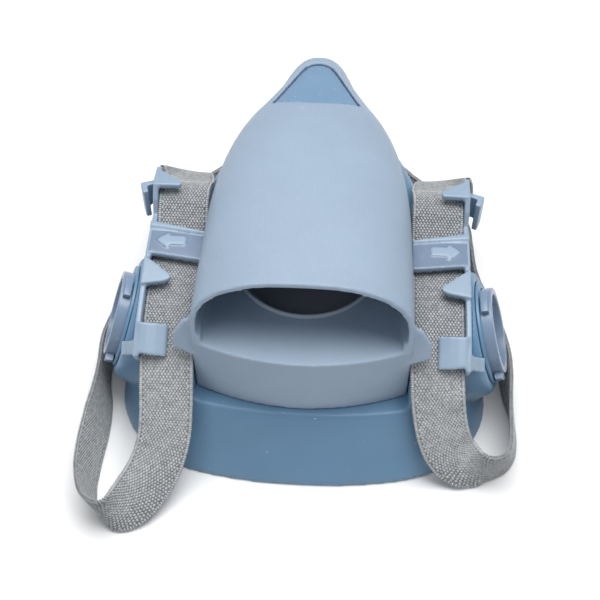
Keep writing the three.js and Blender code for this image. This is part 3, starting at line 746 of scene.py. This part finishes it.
def make_exhaust_cover():
    shell = cut(hood_outer(), hood_inner())
    shell = fused(shell, *with_mirror(mouth_step()))
    lean = math.atan2(MOUTH_CROWN_Y - MOUTH_Y, HOOD[0][2] - FLOOR_TOP)
    mouth_plane = Matrix.Translation((0, MOUTH_Y, FLOOR_TOP)) @ Matrix.Rotation(-lean, 4, "X")
    cut(shell, moved(block(-60, 60, -60, 0, -40, 60), mouth_plane))
    lip = prism(lip_arc(0) + lip_arc(COVER_WALL)[::-1], LIP_BOTTOM, FLOOR_TOP)
    cheek_front = MOUTH_Y + 0.5
    cheek_outline = [(cheek_front, LIP_BOTTOM), (-36, LIP_BOTTOM), (-33, 36), (-30, 52), (cheek_front, 52)]
    cheek = side_prism(cheek_outline, HALF_WIDTH - COVER_WALL, HALF_WIDTH)
    floor_back = both_sides([(32.9, 8), (31.2, 24), (26, 38)])
    floor = prism(lip_arc(0) + floor_back, FLOOR_UNDER, FLOOR_TOP)
    fused(shell, lip, *with_mirror(cheek), floor)
    cut(shell, moved(rod(VALVE_HOLE, 30, 60), TO_VALVE))
    fused(shell, *with_mirror(make_wing()))
    cut(shell, nose_window(0.35))
    return softened(shell, 0.63, 2)


def make_rim():
    inner, outer, under = VALVE_HOLE, VALVE_HOLE + 1.1, FLOOR_TOP - 0.6
    profile = [(inner, under), (outer, under), (outer, RIM_TOP), (inner, RIM_TOP)]
    return moved(turned(rounded(profile, 0.4), 160), TO_VALVE)


finished(make_exhaust_cover(), "exhaust_cover_shell", "exhaust_cover", SHELL)
# The rim is the cover's own plastic, painted paler as a painted highlight.
finished(make_rim(), "exhaust_cover_rim", "exhaust_cover", RIM_HIGHLIGHT_PLASTIC, 40, stands_for=[])

# %% [markdown]
# ## The harness yoke
# Under the cover a hard plate joins two arms, one beside each side of the hood. Each arm is a channel
# for a strap: a floor that rises and falls along a smooth line, an outer wall, a bridge over the strap
# with a raised arrow, two pointed fins that keep the strap down, and a hook at the chin end that it turns
# round. Strips and plates are drawn relative to that one line, so they all lean with it.

# %% The arm's line
ARM_INNER, ARM_OUTER, ARM_WALL, ARM_FLOOR = 34.9, 54.2, 1.8, 2.0
# The underside and top of the bridge over the strap, above the arm's floor
BRIDGE_UNDER, BRIDGE_TOP = 3.4, 5.4
ARM_POINTS = [(-40, 38.6), (-31, 42.6), (-16, 45.7), (0, 46.8), (12, 46.4), (21, 45.2), (30, 43)]
ARM = Line([(y, z, 0) for y, z in ARM_POINTS], even=True)


def arm_at(y):
    share = 0.0
    while share < 1 and ARM.at(share).x < y:
        share += 0.005
    return min(share, 1.0)


def arm_strip(x0, x1, low, high, start=0.0, end=1.0):
    """A strip that follows the line, between two heights over it."""
    steps = max(6, math.ceil(54 * (end - start)))
    shares = [start + (end - start) * k / steps for k in range(steps + 1)]

    def edge(height):
        line = []
        for share in shares:
            p, t = ARM.at(share), ARM.along(share)
            line.append((p.x - t.y * height, p.y + t.x * height))
        return line

    return side_prism(edge(low) + edge(high)[::-1], x0, x1)


def arm_place(y, x=0):
    """The place of a flat piece that lies on the arm at y, and leans with it."""
    share = arm_at(y)
    p, t = ARM.at(share), ARM.along(share)
    return Matrix.Translation((x, p.x, p.y)) @ Matrix.Rotation(math.atan2(t.y, t.x), 4, "X")


def arm_plate(outline, y, height, thick):
    return moved(prism(outline, height, height + thick), arm_place(y))


def arm_section(outline, start, end):
    """A section, in x past the outer face and height over the floor, pushed along from the hook."""
    return moved(pushed(outline, start, end, lambda x, h, y: (x, y, h)), arm_place(HOOK_Y, ARM_OUTER))


# %% What sits on an arm
HOOK_Y, FIN_Y, ARROW_Y = -38, -12.8, -0.4


def arm_bridge():
    """The plate over the strap with its rolled edge and its arrow."""
    near, far = arm_at(-8), arm_at(8)
    slant = [(ARM_INNER - 4, -8.6), (ARM_OUTER + 1, -5.4), (ARM_OUTER + 1, 8.4), (ARM_INNER - 4, 3.2)]
    edge = [(x, y + 11.2) for x, y in slant]
    plate = arm_strip(ARM_INNER, ARM_OUTER, BRIDGE_UNDER, BRIDGE_TOP, near, far)
    roll = arm_strip(ARM_INNER, ARM_OUTER, BRIDGE_UNDER, BRIDGE_TOP + 0.8, near, far)
    arrow = [(41.5, -1.6), (47, -1.6), (47, -3), (51, 0), (47, 3), (47, 1.6), (41.5, 1.6)]
    return (common(plate, prism(slant, 30, 70)), common(roll, prism(slant, 30, 70), prism(edge, 30, 70)),
            arm_plate(arrow, ARROW_Y, BRIDGE_TOP - 0.3, 0.75))


def arm_hook():
    """The rolled hook that the strap turns round, cut off at a slant, with its flared tail."""
    top = [(-10.2, 3.2), (-7, 4.6), (-4.2, 5.4), (-1.8, 5.2), (-0.4, 4.3), (0, 2.6)]
    under = [(x - 0.6, h - 1.9) for x, h in top[::-1]]
    x = ARM_OUTER
    slant = arm_plate([(x - 12, -2.6), (x + 1, -0.4), (x + 1, 12), (x - 12, 12)], HOOK_Y, -6, 20)
    flare = [(-2.2, 4.2), (-0.4, 4.4), (1.6, 1.4), (3.4, -0.6), (5, -1.2), (4.8, -2.9), (2.6, -2.4),
             (0.2, 0.2), (-1.2, 2.2)]
    return common(arm_section(top + under, -1.5, 9), slant), arm_section(flare, -1.2, 3.4)


def upper_guide():
    """The riser behind the bridge, with a fin over the strap and a tab on the outside."""
    outline = [(9, 45), (14.5, 56), (17.6, 59.5), (21, 60.2), (27.4, 59.2), (29.2, 53), (29, 43.6),
               (20, 44.6)]
    riser = side_prism(outline, ARM_OUTER - ARM_WALL, ARM_OUTER)
    fin_outline = [(ARM_OUTER, 0), (ARM_OUTER, 9.4), (45.2, 3), (44.4, 1.6), (44.8, 0.2)]
    fin_place = Matrix.Translation((0, 17.6, 58.3)) @ Matrix.Rotation(-0.12, 4, "X")
    fin = moved(prism(rounded(fin_outline, 0.6), 0, 2), fin_place)
    tab_place = Matrix.Translation((ARM_OUTER - 0.6, 24.6, 46)) @ Matrix.Rotation(-0.35, 4, "Z")
    tab = moved(fused(block(0, 6, -1, 1, -1, 9), block(4.4, 6.4, -4, 1, -3.4, 9)), tab_place)
    return riser, fin, tab


def make_arm():
    fin_outline = [(ARM_OUTER, 6), (ARM_OUTER, -5.6), (46.4, -4.2), (44.4, -3), (44.8, -1.2)]
    fin = arm_plate(rounded(fin_outline, 0.8), FIN_Y, BRIDGE_UNDER + 0.4, 2.2)
    floor = arm_strip(ARM_INNER + 0.5, ARM_OUTER, -ARM_FLOOR, 0)
    outer_wall = arm_strip(ARM_OUTER - ARM_WALL, ARM_OUTER, -ARM_FLOOR, BRIDGE_UNDER + 1.6)
    return fused(floor, outer_wall, *arm_bridge(), fin, *arm_hook(), *upper_guide())


# %% The whole yoke
def make_harness_yoke():
    arms = with_mirror(make_arm())
    channels = with_mirror(arm_strip(ARM_INNER, ARM_OUTER - ARM_WALL, 0, 3))
    middle = prism(both_sides([(30, -31), (38, -24), (38, 12), (29, 26.4)]), 44, 46.4)
    whole = fused(cut(middle, *channels), *arms)
    cut(whole, moved(rod(VALVE_HOLE, 30, 60), TO_VALVE))
    return softened(whole, 0.45, 2)


yoke = finished(make_harness_yoke(), "harness_yoke_moulding", "harness_yoke", ARM_PLASTIC)

# The plate over each strap, apart from its arrow and its rolled edge, is glossier and darker; the darker
# colour is painted shade. A face belongs to it if it lies within a small distance of the plate's own height.
PLATE_FROM, PLATE_TO, PLATE_NEAR = -9, 4, 0.24
yoke.data.materials.append(PLATE_SHADE_PLASTIC)
plate_top = {y: ARM.at(arm_at(y)).y + BRIDGE_TOP for y in range(PLATE_FROM, PLATE_TO + 1)}
for face in yoke.data.polygons:
    x, y, z = TO_FRAME.inverted() @ face.center
    if ARM_INNER < abs(x) < ARM_OUTER - 1 and PLATE_FROM < y < PLATE_TO:
        row = math.floor(y)
        height = z - plate_top[row] - (y - row) * (plate_top[row + 1] - plate_top[row])
        face.material_index = int(abs(height) < PLATE_NEAR)

# %% [markdown]
# ## The ports
# A port is a hard collar snapped into the silicone. Filters push on and turn under three lugs, spokes
# inside carry a rubber flap that opens as the wearer breathes in, and a soft gasket seals behind. All of
# these are turned about the port's own axis, drawn upright here and tipped into place afterwards. The
# lugs and spokes are one of each, repeated round the axis by the first tree.

# %% Turned pieces of a port
PORT_PLACE = Matrix.Translation((66, -16, 31.5)) @ Matrix.Rotation(math.pi / 2 - math.radians(18.6), 4, "Y")
PORT_FACE, PORT_BORE, PORT_BOSS, PORT_BOSS_FACE, PORT_LENGTH = 14.6, 12.3, 21.0, -5.0, 17.0
PORT_LUG, PORT_FLANGE, SPIDER_AT, FLAP_STEM = 17.0, 17.2, -11.5, 7.2


def repeated(obj, count, first_angle=0.0):
    return grown(obj, ROUND_AXIS, None, Count=count, First_angle=first_angle)


def make_collar():
    f, b, r, length = PORT_FLANGE, PORT_BORE, PORT_FACE, PORT_LENGTH
    profile = [(b, -length - 1.2), (f, -length - 1.2), (f, -length + 0.8), (r, -length + 0.8), (r, 0),
               (b, 0)]
    ring = turned(rounded(profile, 0.45, 4), 128)
    lug_profile = [(r - 0.6, -3.3), (PORT_LUG, -3.3), (PORT_LUG, -0.9), (r - 0.6, -0.9)]
    lug_wedge = prism([(0, 0), (30, 7), (30, -7)], -10, 5)
    lug = common(turned(rounded(lug_profile, 0.4, 3), 180), lug_wedge)
    lugs = repeated(lug, 3, math.radians(60))
    low = SPIDER_AT
    spoke = side_prism([(-0.9, low), (0.9, low), (0.9, low + 1.4), (0.5, low + 1.8), (-0.5, low + 1.8),
                        (-0.9, low + 1.4)], 1.8, b + 1)
    hub_profile = [(1.6, low), (2.8, low), (2.8, low + 2.6), (1.6, low + 2.6)]
    return fused(ring, lugs, repeated(spoke, 3), turned(rounded(hub_profile, 0.3), 64))


def mushroom(radius, thick, stem, segments=96):
    """A thin disc with a rounded rim, a stem, and the barb that holds it in its hub."""
    half = thick * 0.3
    barb = [(0, -stem), (1.2, -stem), (1.55, -stem + 0.2), (2.1, -stem + 1.2), (2.0, -stem + 1.5),
            (1.25, -stem + 1.6), (1.25, -0.35), (1.6, 0)]
    rim = [(radius - half, 0), (radius - half * 0.3, half * 0.3), (radius, half),
           (radius - half * 0.3, half * 1.7), (radius - half, half * 2)]
    top = [(radius * 0.5, thick), (2.4, thick + 0.12), (1.2, thick + 0.42), (0, thick + 0.5)]
    return turned(barb + rim + top, segments)


def make_gasket():
    low, high = PORT_BOSS_FACE + GAP, PORT_BOSS_FACE + 1.3
    inner, outer = PORT_FACE + GAP, PORT_BOSS - 3.4
    return turned(rounded([(inner, low), (outer, low), (outer - 0.3, high), (inner + 1.3, high - 0.35),
                           (inner, high)], 0.25, 3), 128)


UNDER_SPIDER = Matrix.Translation((0, 0, SPIDER_AT - GAP)) @ Matrix.Rotation(math.pi, 4, "X")
for side, mirror in (("right", Matrix.Identity(4)), ("left", MIRROR)):
    collar, gasket, flap = f"port_collar_{side}", f"port_gasket_{side}", f"inhalation_flap_{side}"
    place = mirror @ PORT_PLACE
    finished(moved(make_collar(), place), f"{collar}_ring", collar, COLLAR_PLASTIC, 35)
    finished(moved(make_gasket(), place), f"{gasket}_ring", gasket, SILICONE, 40)
    disc = moved(mushroom(11.4, 0.8, FLAP_STEM), UNDER_SPIDER)
    finished(moved(disc, place), f"{flap}_disc", flap, FLAP_RUBBER, 40)

# %% [markdown]
# ## The exhalation valve
# Behind the mouth a barrel stands through the silicone. Four spokes and a hub inside it carry a larger
# mushroom flap. A retaining ring clips on the barrel from inside.

# %% Front insert, its ring and the exhalation flap
TUBE_R, TUBE_WALL, TUBE_TOP, SEAT_Z, SEAL_TOP, SEAL_WALL = 23.4, 2.0, 49.0, 44.2, 41.0, 2.6


def make_front_insert():
    r, w = TUBE_R, TUBE_WALL
    profile = [(r - w, 34.8), (r + 0.4, 34.8), (r + 0.9, 35.4), (r, 35.9), (r, SEAL_TOP + GAP),
               (r + 4.6, SEAL_TOP + GAP), (r + 4.6, 43.4), (r, 43.4), (r, TUBE_TOP), (r - 0.9, TUBE_TOP),
               (r - 1.3, TUBE_TOP - 1.2), (r - w, TUBE_TOP - 1.4)]
    ring = turned(rounded(profile, 0.3, 3), 160)
    high = SEAT_Z - GAP
    spoke = side_prism([(-1, 42.2), (1, 42.2), (1, high - 0.3), (0.7, high), (-0.7, high),
                        (-1, high - 0.3)], 1.9, r - 1)
    hub = turned(rounded([(1.6, 41.8), (3, 41.8), (3, high), (1.6, high)], 0.25), 64)
    return fused(ring, repeated(spoke, 4, math.radians(45)), hub)


def make_retaining_ring():
    inner, outer = TUBE_R + GAP, TUBE_R + 4.2
    low, high = 36.2, SEAL_TOP - SEAL_WALL - GAP
    return turned(rounded([(inner, low), (outer, low), (outer, high), (inner, high)], 0.4), 128)


barrel = moved(make_front_insert(), TO_VALVE)
finished(barrel, "front_insert_barrel", "front_insert", INSERT_PLASTIC, 35)
clip = moved(make_retaining_ring(), TO_VALVE)
finished(clip, "insert_clip_ring", "insert_retaining_ring", INSERT_PLASTIC, 35)
exhalation_disc = moved(mushroom(20.6, 0.8, 6.8, 128), Matrix.Translation((0, VALVE_Y, SEAT_Z)))
finished(exhalation_disc, "exhalation_flap_disc", "exhalation_flap", VALVE_RUBBER, 40)

# %% [markdown]
# ## The face seal
# The cup is one silicone moulding, and its skin is curved all over. Its outline on the face shrinks as it
# rises, by one share across, another at the chin and a third at the nose, so a loft through those rings
# gives the outer skin, and the same rings moved inwards give the cavity. Bosses for the ports and the
# nose pad are joined on, and room is cut for each hard piece. Then the whole is softened at a coarser
# voxel than the plastic, because silicone has bigger radii.

# %% The cup's outline and skin
SEAL_OUTLINE = [(0, -62.5), (24, -61), (43, -56.5), (57, -46.5), (64, -32), (63.5, -14), (58.5, 5), (52, 22),
                (45.5, 37), (40.5, 50), (32.8, 62.5), (24.5, 73.5), (13.4, 81), (0, 84)]
seal_line = Line([(x, y, 0) for x, y in both_sides(SEAL_OUTLINE)], closed=True, samples=2600)
AROUND = 176
SEAL_POINTS = [seal_line.at(k / AROUND) for k in range(AROUND)]
SEAL_CENTRE_Y, LIP_WIDTH, NOSE_TOP, NOSE_EDGE = 4.0, 9.0, 47.0, 28.0
# Share of the height, then of the width, of the chin side and of the nose side
SKIN = [(0, 1, 1, 1), (0.1, 0.985, 0.975, 0.992), (0.3, 0.965, 0.905, 0.975), (0.52, 0.94, 0.835, 0.95),
        (0.72, 0.91, 0.765, 0.92), (0.88, 0.85, 0.72, 0.87), (0.97, 0.76, 0.68, 0.79), (1, 0.6, 0.6, 0.66)]


def smoothstep(low, high, value):
    t = min(max((value - low) / (high - low), 0), 1)
    return t * t * (3 - 2 * t)


def skin_ring(row, inset=0.0, drop=0.0):
    share, wide, chin, nose = row
    ring = []
    for p in SEAL_POINTS:
        k = chin if p.y < SEAL_CENTRE_Y else nose
        inward = Vector((-p.x, SEAL_CENTRE_Y - p.y, 0)).normalized() * inset
        edge = NOSE_EDGE * smoothstep(12, 80, p.y)
        top = SEAL_TOP + (NOSE_TOP - SEAL_TOP) * smoothstep(36, 66, p.y)
        ring.append((p.x * wide + inward.x, SEAL_CENTRE_Y + (p.y - SEAL_CENTRE_Y) * k + inward.y,
                     edge + (top - drop - edge) * share))
    return ring


def skin(inset=0.0, drop=0.0, floor=None, steps=36):
    rows = [Vector(row) for row in SKIN]
    if floor is not None:
        rows[0][0] = floor
    return loft([skin_ring(spline(rows, k / steps, even=True), inset, drop) for k in range(steps + 1)])


# %% The cup
def port_boss():
    b = PORT_BOSS
    profile = [(0, -26), (b + 2, -26), (b + 1.4, -14), (b + 0.7, -9), (b + 0.1, -6.6), (b - 0.6, -5.4),
               (b - 1.5, -4.75), (b - 2.5, -4.6), (b - 3.1, -5), (0, -5)]
    return moved(turned(profile, 128), PORT_PLACE)


def lip_block(front, back, z0, z1):
    return prism(lip_arc(front) + lip_arc(back)[::-1], z0, z1)


LIP_ROOM, LIP_ROOM_LOW = COVER_WALL + GAP, LIP_BOTTOM - GAP
ARM_ROOM_LOW = -ARM_FLOOR - GAP
FLANGE_TOP, COLLAR_END = -PORT_LENGTH + 0.8 + GAP, -PORT_LENGTH - 1.2 - GAP


def seal_outside():
    body = fused(skin(), *with_mirror(port_boss()))
    hood_room = moved(hood_outer(), Matrix.Translation((0, 0, -0.9)))
    column = common(nose_window(0), fused(hood_room, block(-20, 20, 50, 82, 44, 52)))
    pad_right = [(18, 50), (13, 64), (8, 75), (3, 80.6)]
    pad = prism(rounded(both_sides(pad_right), 2), 36, 49.4)
    return fused(body, column, pad)


def seal_hollow():
    """The cavity, kept one wall away from the room of each hard piece."""
    wall = 2.2
    low = LIP_ROOM_LOW - wall
    hollow = skin(SEAL_WALL, SEAL_WALL, 0.07)
    lip = [skin_ring((h, 0.985, 0.975, 0.99), LIP_WIDTH, SEAL_WALL) for h in (-0.3, 0.3)]
    fused(hollow, loft(lip))
    cut(hollow, *with_mirror(moved(rod(PORT_BOSS - 0.8, FLANGE_TOP, 0), PORT_PLACE)))
    cut(hollow, block(-41, 41, -46, 27, SEAL_TOP - SEAL_WALL, 90), lip_block(-30, LIP_ROOM + wall, low, 90))
    cut(hollow, *with_mirror(block(HALF_WIDTH - LIP_ROOM - wall, ARM_OUTER, -60, -27, low, 90)))
    cut(hollow, *with_mirror(arm_strip(ARM_INNER - 4, ARM_OUTER + wall, ARM_ROOM_LOW - wall, 20)))
    return hollow


def make_face_seal():
    body = cut(seal_outside(), seal_hollow())
    cut(body, block(-38.4, 38.4, -48, 27, SEAL_TOP, 60), lip_block(-GAP, LIP_ROOM, LIP_ROOM_LOW, 60))
    cut(body, lip_block(-20, 0, LIP_ROOM_LOW, 60))
    cut(body, *with_mirror(block(HALF_WIDTH - LIP_ROOM, HALF_WIDTH + GAP, -60, -29.7, LIP_ROOM_LOW, 60)))
    for room in (rod(PORT_FLANGE + 0.6, COLLAR_END, FLANGE_TOP), rod(PORT_FACE + GAP, COLLAR_END, 5),
                 rod(PORT_BORE + 1, -50, COLLAR_END + 1)):
        cut(body, *with_mirror(moved(room, PORT_PLACE)))
    cut(body, *with_mirror(arm_strip(ARM_INNER - 4, ARM_OUTER + GAP, ARM_ROOM_LOW, 12)))
    cut(body, *with_mirror(block(ARM_OUTER - ARM_WALL - GAP, ARM_OUTER + GAP, 12, 30, 41.5, 64)))
    cut(body, moved(rod(TUBE_R + GAP, 20, 60), TO_VALVE))
    return softened(body, 0.88, 5)


seal = finished(make_face_seal(), "face_seal_cup", "face_seal", SILICONE)

# The nose pad, seen through the hood's window, is the cup's own silicone painted paler: painted light.
PAD_FROM_Y, PAD_FROM_Z = 48, 53
seal.data.materials.append(PAD_PAINTED_LIGHT_SILICONE)
for face in seal.data.polygons:
    x, y, z = TO_FRAME.inverted() @ face.center
    if y > PAD_FROM_Y and z > PAD_FROM_Z:
        face.material_index = 1

# %% [markdown]
# ## The straps
# Each strap is a 17 mm elastic webbing that comes out of the head cradle, goes over the upper guide, along
# the arm, round the hook, and lies in a loop on the table before it runs back to the neck buckle. A
# ribbon swept along its own line, with its own direction across at each point, can twist as cloth does.
# The cloth itself is real here: a thin ribbon, and on both faces of it thousands of small yarn loops,
# placed by a Geometry Nodes tree in staggered rows, with a tight edge cord along each side.

# %% Yarn and webbing finishes
def make_webbing(name, dark, light, sheen):
    material, tree, shader = finish(name, light, 0.85, Sheen_Weight=sheen, Sheen_Roughness=0.5,
                                    Specular_IOR_Level=0.3)
    tone = mixed(tree, noise(tree, 700, 2, 0.7), dark, light, 0.32, 0.66)
    long_tone = mixed(tree, noise(tree, 30, 2), (0.93, 0.93, 0.94), (1.0, 1.0, 1.0))
    tree.links.new(layered(tree, tone, long_tone, None, "MULTIPLY", 1.0), shader.inputs["Base Color"])
    bumped(tree, shader, noise(tree, 6000, 2, 0.7), 0.00005)
    return material


# The ground cloth is darker than the yarn as painted shade for the pits between the loops.
WEB_GROUND_SHADE = make_webbing("webbing_ground_painted_shade", (0.17, 0.175, 0.185), (0.27, 0.28, 0.29), 0.05)
WEB_YARN = make_webbing("webbing_yarn", (0.37, 0.385, 0.395), (0.56, 0.57, 0.575), 0.15)

# %% The straps' routes, from the cradle clip to the neck buckle
STRAP_WIDTH, STRAP_THICK, STRAP_X = 17.0, 1.5, 43.7
SLIDE_AT, SLIDE_ALONG = Vector((35, 63.4, 9.6)), Vector((-0.8, 0.6, 0))


def slide_point(distance):
    return tuple(SLIDE_AT + SLIDE_ALONG * distance)


def arm_row(y):
    lift = GAP + STRAP_THICK / 2
    share = arm_at(y)
    p, t = ARM.at(share), ARM.along(share)
    return (STRAP_X, p.x - t.y * lift, p.y + t.x * lift), (1, 0, 0)


UPPER_RUN = [*[(slide_point(d), (0, 0, 1)) for d in (-1.2, -5, -9.4)],
             ((46.8, 54, 12.6), (0.1, 0, 1)), ((50.2, 52.2, 19.2), (0.35, 0, 0.93)),
             ((51.6, 50.8, 26.6), (0.65, -0.05, 0.75)), ((50.4, 49.4, 34), (0.9, -0.1, 0.4)),
             ((47.6, 44.6, 39.8), (1, 0, 0.2)), ((44.8, 37.4, 44.4), (1, 0, 0)),
             ((STRAP_X, 30.6, 48.6), (1, 0, 0)), ((STRAP_X, 25.6, 52.8), (1, 0, 0)),
             ((STRAP_X, 20.4, 55.2), (1, 0, 0)), ((STRAP_X, 15.6, 54.2), (1, 0, 0)),
             ((STRAP_X, 12.2, 51.2), (1, 0, 0)),
             *[arm_row(y) for y in (7, 2, -4, -10, -16, -22, -28, -34, -38)]]
RIGHT_LOOP = [((44.2, -44.8, 35.8), (1, 0.02, 0)), ((45.4, -48.6, 28), (1, 0.08, 0)),
              ((47.4, -52.2, 20.4), (0.98, 0.16, 0.06)), ((50.4, -54.4, 13.8), (0.92, 0.26, 0.22)),
              ((54.2, -56, 10), (0.82, 0.28, 0.48)), ((58.4, -57, 8.9), (0.6, 0.2, 0.76)),
              ((62.8, -57.2, 8.9), (0.36, 0.04, 0.93)), ((67, -55.8, 8.9), (0.14, 0, 0.99)),
              ((70.2, -52.6, 8.9), (-0.04, 0, 1)), ((72, -47.4, 8.9), (-0.18, 0, 0.98)),
              ((72.6, -40.6, 8.9), (-0.22, 0, 0.97)), ((72.4, -32, 8.9), (-0.14, 0, 0.99)),
              ((71.8, -24, 8.9), (0.02, 0, 1)), ((71.3, -16, 8.9), (0.07, 0, 1)),
              ((70.4, -8, 8.9), (0.03, 0, 1))]
LEFT_LOOP = [((43.4, -45.8, 35.4), (1, -0.03, 0)), ((43.5, -51.4, 27.6), (1, -0.04, 0.02)),
             ((44.2, -56.8, 19.4), (1, 0, 0.06)), ((46.4, -63, 12.8), (0.97, 0.12, 0.22)),
             ((50.4, -70.6, 9), (0.84, 0.24, 0.48)), ((55.2, -77, 8.4), (0.6, 0.24, 0.76)),
             ((61.2, -80.2, 8.8), (0.33, 0.04, 0.94)), ((67, -77, 8.8), (0.18, -0.1, 0.97)),
             ((69.8, -69, 8.6), (0.24, -0.1, 0.95)), ((70.4, -59, 8.4), (0.3, 0, 0.93)),
             ((70, -47, 8.4), (0.32, 0, 0.93)), ((69.8, -35, 8.7), (0.22, 0, 0.95)),
             ((70.8, -25, 8.9), (0.08, 0, 1)), ((71.3, -16, 8.9), (0.07, 0, 1)),
             ((70.4, -8, 8.9), (0.03, 0, 1))]
REAR_RUN = [(p, (0, 0, 1)) for p in
            [(68.2, 1, 9), (64.6, 10, 9), (61.4, 22, 9), (60.4, 34, 9), (59.4, 44, 9), (54.6, 54, 9),
             (47, 61.4, 9.2), (39.6, 67.6, 9.6), (33.4, 74, 10), (27.6, 79.4, 10.4), (22.6, 82, 10.6),
             (18, 82.4, 10.6), (11, 82.4, 10.6), (2.2, 82.4, 10.6)]]


class Ribbon:
    """A flat band along a line, with the direction across it at every point."""

    def __init__(self, rows, width, thick, samples=2400):
        middle = [Vector(p) for p, _ in rows]
        sides = [Vector(s).normalized() for _, s in rows]
        self.frames, self.lengths = [], [0.0]
        for k in range(samples + 1):
            t = k / samples
            p = spline(middle, t)
            step = spline(middle, min(t + 1e-4, 1)) - spline(middle, max(t - 1e-4, 0))
            along = step.normalized()
            across = spline(sides, t)
            across = (across - along * across.dot(along)).normalized()
            up = along.cross(across).normalized()
            lowest = p.z - abs(across.z) * width / 2 - abs(up.z) * thick / 2
            p = p + Vector((0, 0, max(0, 0.3 - lowest)))
            if self.frames:
                self.lengths.append(self.lengths[-1] + (p - self.frames[-1][0]).length)
            self.frames.append((p, along, across, up))
        self.length = self.lengths[-1]

    def at(self, distance):
        low, high, part = bracket(self.lengths, distance)
        part = min(max(part, 0), 1)
        a, b = self.frames[low], self.frames[high]
        p, along, across, up = (a[k].lerp(b[k], part) for k in range(4))
        return p, along.normalized(), across.normalized(), up.normalized()


# %% Ground cloth and yarn loops
ROW_PITCH, COLUMN_PITCH, EDGE_PITCH = 0.9, 1.06, 0.7
GROUND_THICK = 1.0


def ground_cloth(ribbon, width, thick, pitch=1.0):
    """The thin closed ribbon under the yarn, with rounded edges."""
    half, t = width / 2, thick / 2
    upper = [(half, 0), (half - 0.15, t * 0.7), (half - 0.45, t), (half / 3, t), (-half / 3, t),
             (-half + 0.45, t), (-half + 0.15, t * 0.7)]
    section = upper + [(-a, -b) for a, b in upper]
    rings = []
    steps = round(ribbon.length / pitch)
    for k in range(steps + 1):
        p, _, across, up = ribbon.at(ribbon.length * k / steps)
        rings.append([p + across * a + up * b for a, b in section])
    return loft(rings)


def loop_sites(ribbon, width, thick):
    """Points on both faces of the ribbon, each with its way up and its way along."""
    sites = []
    columns = int((width - 1.6) / COLUMN_PITCH)
    for face in (1, -1):
        for r in range(int(ribbon.length / ROW_PITCH)):
            p, along, across, up = ribbon.at((r + 0.5) * ROW_PITCH)
            shift = 0.25 if r % 2 else -0.25
            slant = 0.34 if r % 2 else -0.34
            lie = (along * math.cos(slant) + across * math.sin(slant)).normalized()
            for c in range(columns):
                a = (c - (columns - 1) / 2 + shift) * COLUMN_PITCH
                sites.append((p + across * a + up * (face * thick / 2), up * face, lie))
        for r in range(int(ribbon.length / EDGE_PITCH)):
            p, along, across, up = ribbon.at((r + 0.5) * EDGE_PITCH)
            for a in (-width / 2 + 0.3, width / 2 - 0.3):
                sites.append((p + across * a + up * (face * (thick / 2 - 0.05)), up * face, across))
    return sites


def woven_loops(sites, material, **sizes):
    mesh = bpy.data.meshes.new("loop_sites")
    mesh.from_pydata([tuple(p) for p, _, _ in sites], [], [])
    for name, k in (("way_up", 1), ("way_along", 2)):
        field = mesh.attributes.new(name, "FLOAT_VECTOR", "POINT")
        field.data.foreach_set("vector", [v for site in sites for v in site[k]])
    obj = bpy.data.objects.new("loop_sites", mesh)
    scene.collection.objects.link(obj)
    return grown(obj, WOVEN, material, **sizes)


def make_strap(side, loop, mirror):
    ribbon = Ribbon([*UPPER_RUN, *loop, *REAR_RUN], STRAP_WIDTH, STRAP_THICK)
    node_name = f"strap_{side}"
    cloth_width = STRAP_WIDTH - 0.3
    ground = moved(ground_cloth(ribbon, cloth_width, GROUND_THICK), mirror)
    ground = finished(ground, f"{node_name}_webbing", node_name, WEB_GROUND_SHADE)
    yarn = woven_loops(loop_sites(ribbon, cloth_width, GROUND_THICK), WEB_YARN, Loop_width=1.0,
                       Loop_length=1.5, Loop_height=0.34, Unevenness=0.1, Seed=11)
    yarn = finished(moved(yarn, mirror), f"{node_name}_yarn", node_name, WEB_YARN, stands_for=[])
    print(f"{node_name} length, mm", round(ribbon.length, 1))


make_strap("right", RIGHT_LOOP, Matrix.Identity(4))
make_strap("left", LEFT_LOOP, MIRROR)

# %% [markdown]
# ## The head cradle and the neck buckle
# Behind the nose the two flexible bands of the head cradle lie folded, held by a rivet at each end and
# joined to the straps by a clip, and the neck strap's buckle lies closed. These are simple mouldings whose
# CAD shapes are right, so each is a copy of its solid with softened edges. Grip ribs are one bar, repeated
# in a row by the second tree.

# %% Cradle, clips, rivets and buckle
for name, voxel in (("crown_band", 0.4), ("nape_band", 0.4), ("cradle_slide_right", 0.32),
                    ("cradle_slide_left", 0.32), ("cradle_stud_right", 0.2), ("cradle_stud_left", 0.2)):
    finished(softened(cad_copy(name), voxel, 2), f"{name}_moulding", name, CRADLE_PLASTIC)


def grip_ribs(x0, x1, count, y):
    bar = block(x0, x0 + 0.8, y - 0.5, y + 0.35, 4, 17)
    return grown(bar, IN_A_ROW, None, Count=count, Step=((x1 - x0) / (count - 1), 0, 0))


for name, x0, x1 in (("neck_buckle_socket", 2.4, 11.4), ("neck_buckle_hook", -12.2, -3.2)):
    half = fused(cad_copy(name), grip_ribs(x0, x1, 6, 88.4))
    finished(softened(half, 0.3, 2), f"{name}_half", name, CRADLE_PLASTIC)

# %% [markdown]
# ## The floor
# A plain pale board under the mask, wide enough to fill the view, with a very faint unevenness of tone so
# that it isn't one flat colour. It is staging, not part of the mask.

# %% Floor
board = solid([(-3, -3, 0), (3, -3, 0), (3, 3, 0), (-3, 3, 0)], [(0, 1, 2, 3)], "floor_board")
paper, paper_tree, paper_shader = finish("pale_board", (0.93, 0.93, 0.93), 0.6)
paper_tone = mixed(paper_tree, noise(paper_tree, 3, 2), (0.92, 0.92, 0.92), (0.94, 0.94, 0.94))
paper_tree.links.new(paper_tone, paper_shader.inputs["Base Color"])
board.data.materials.append(paper)
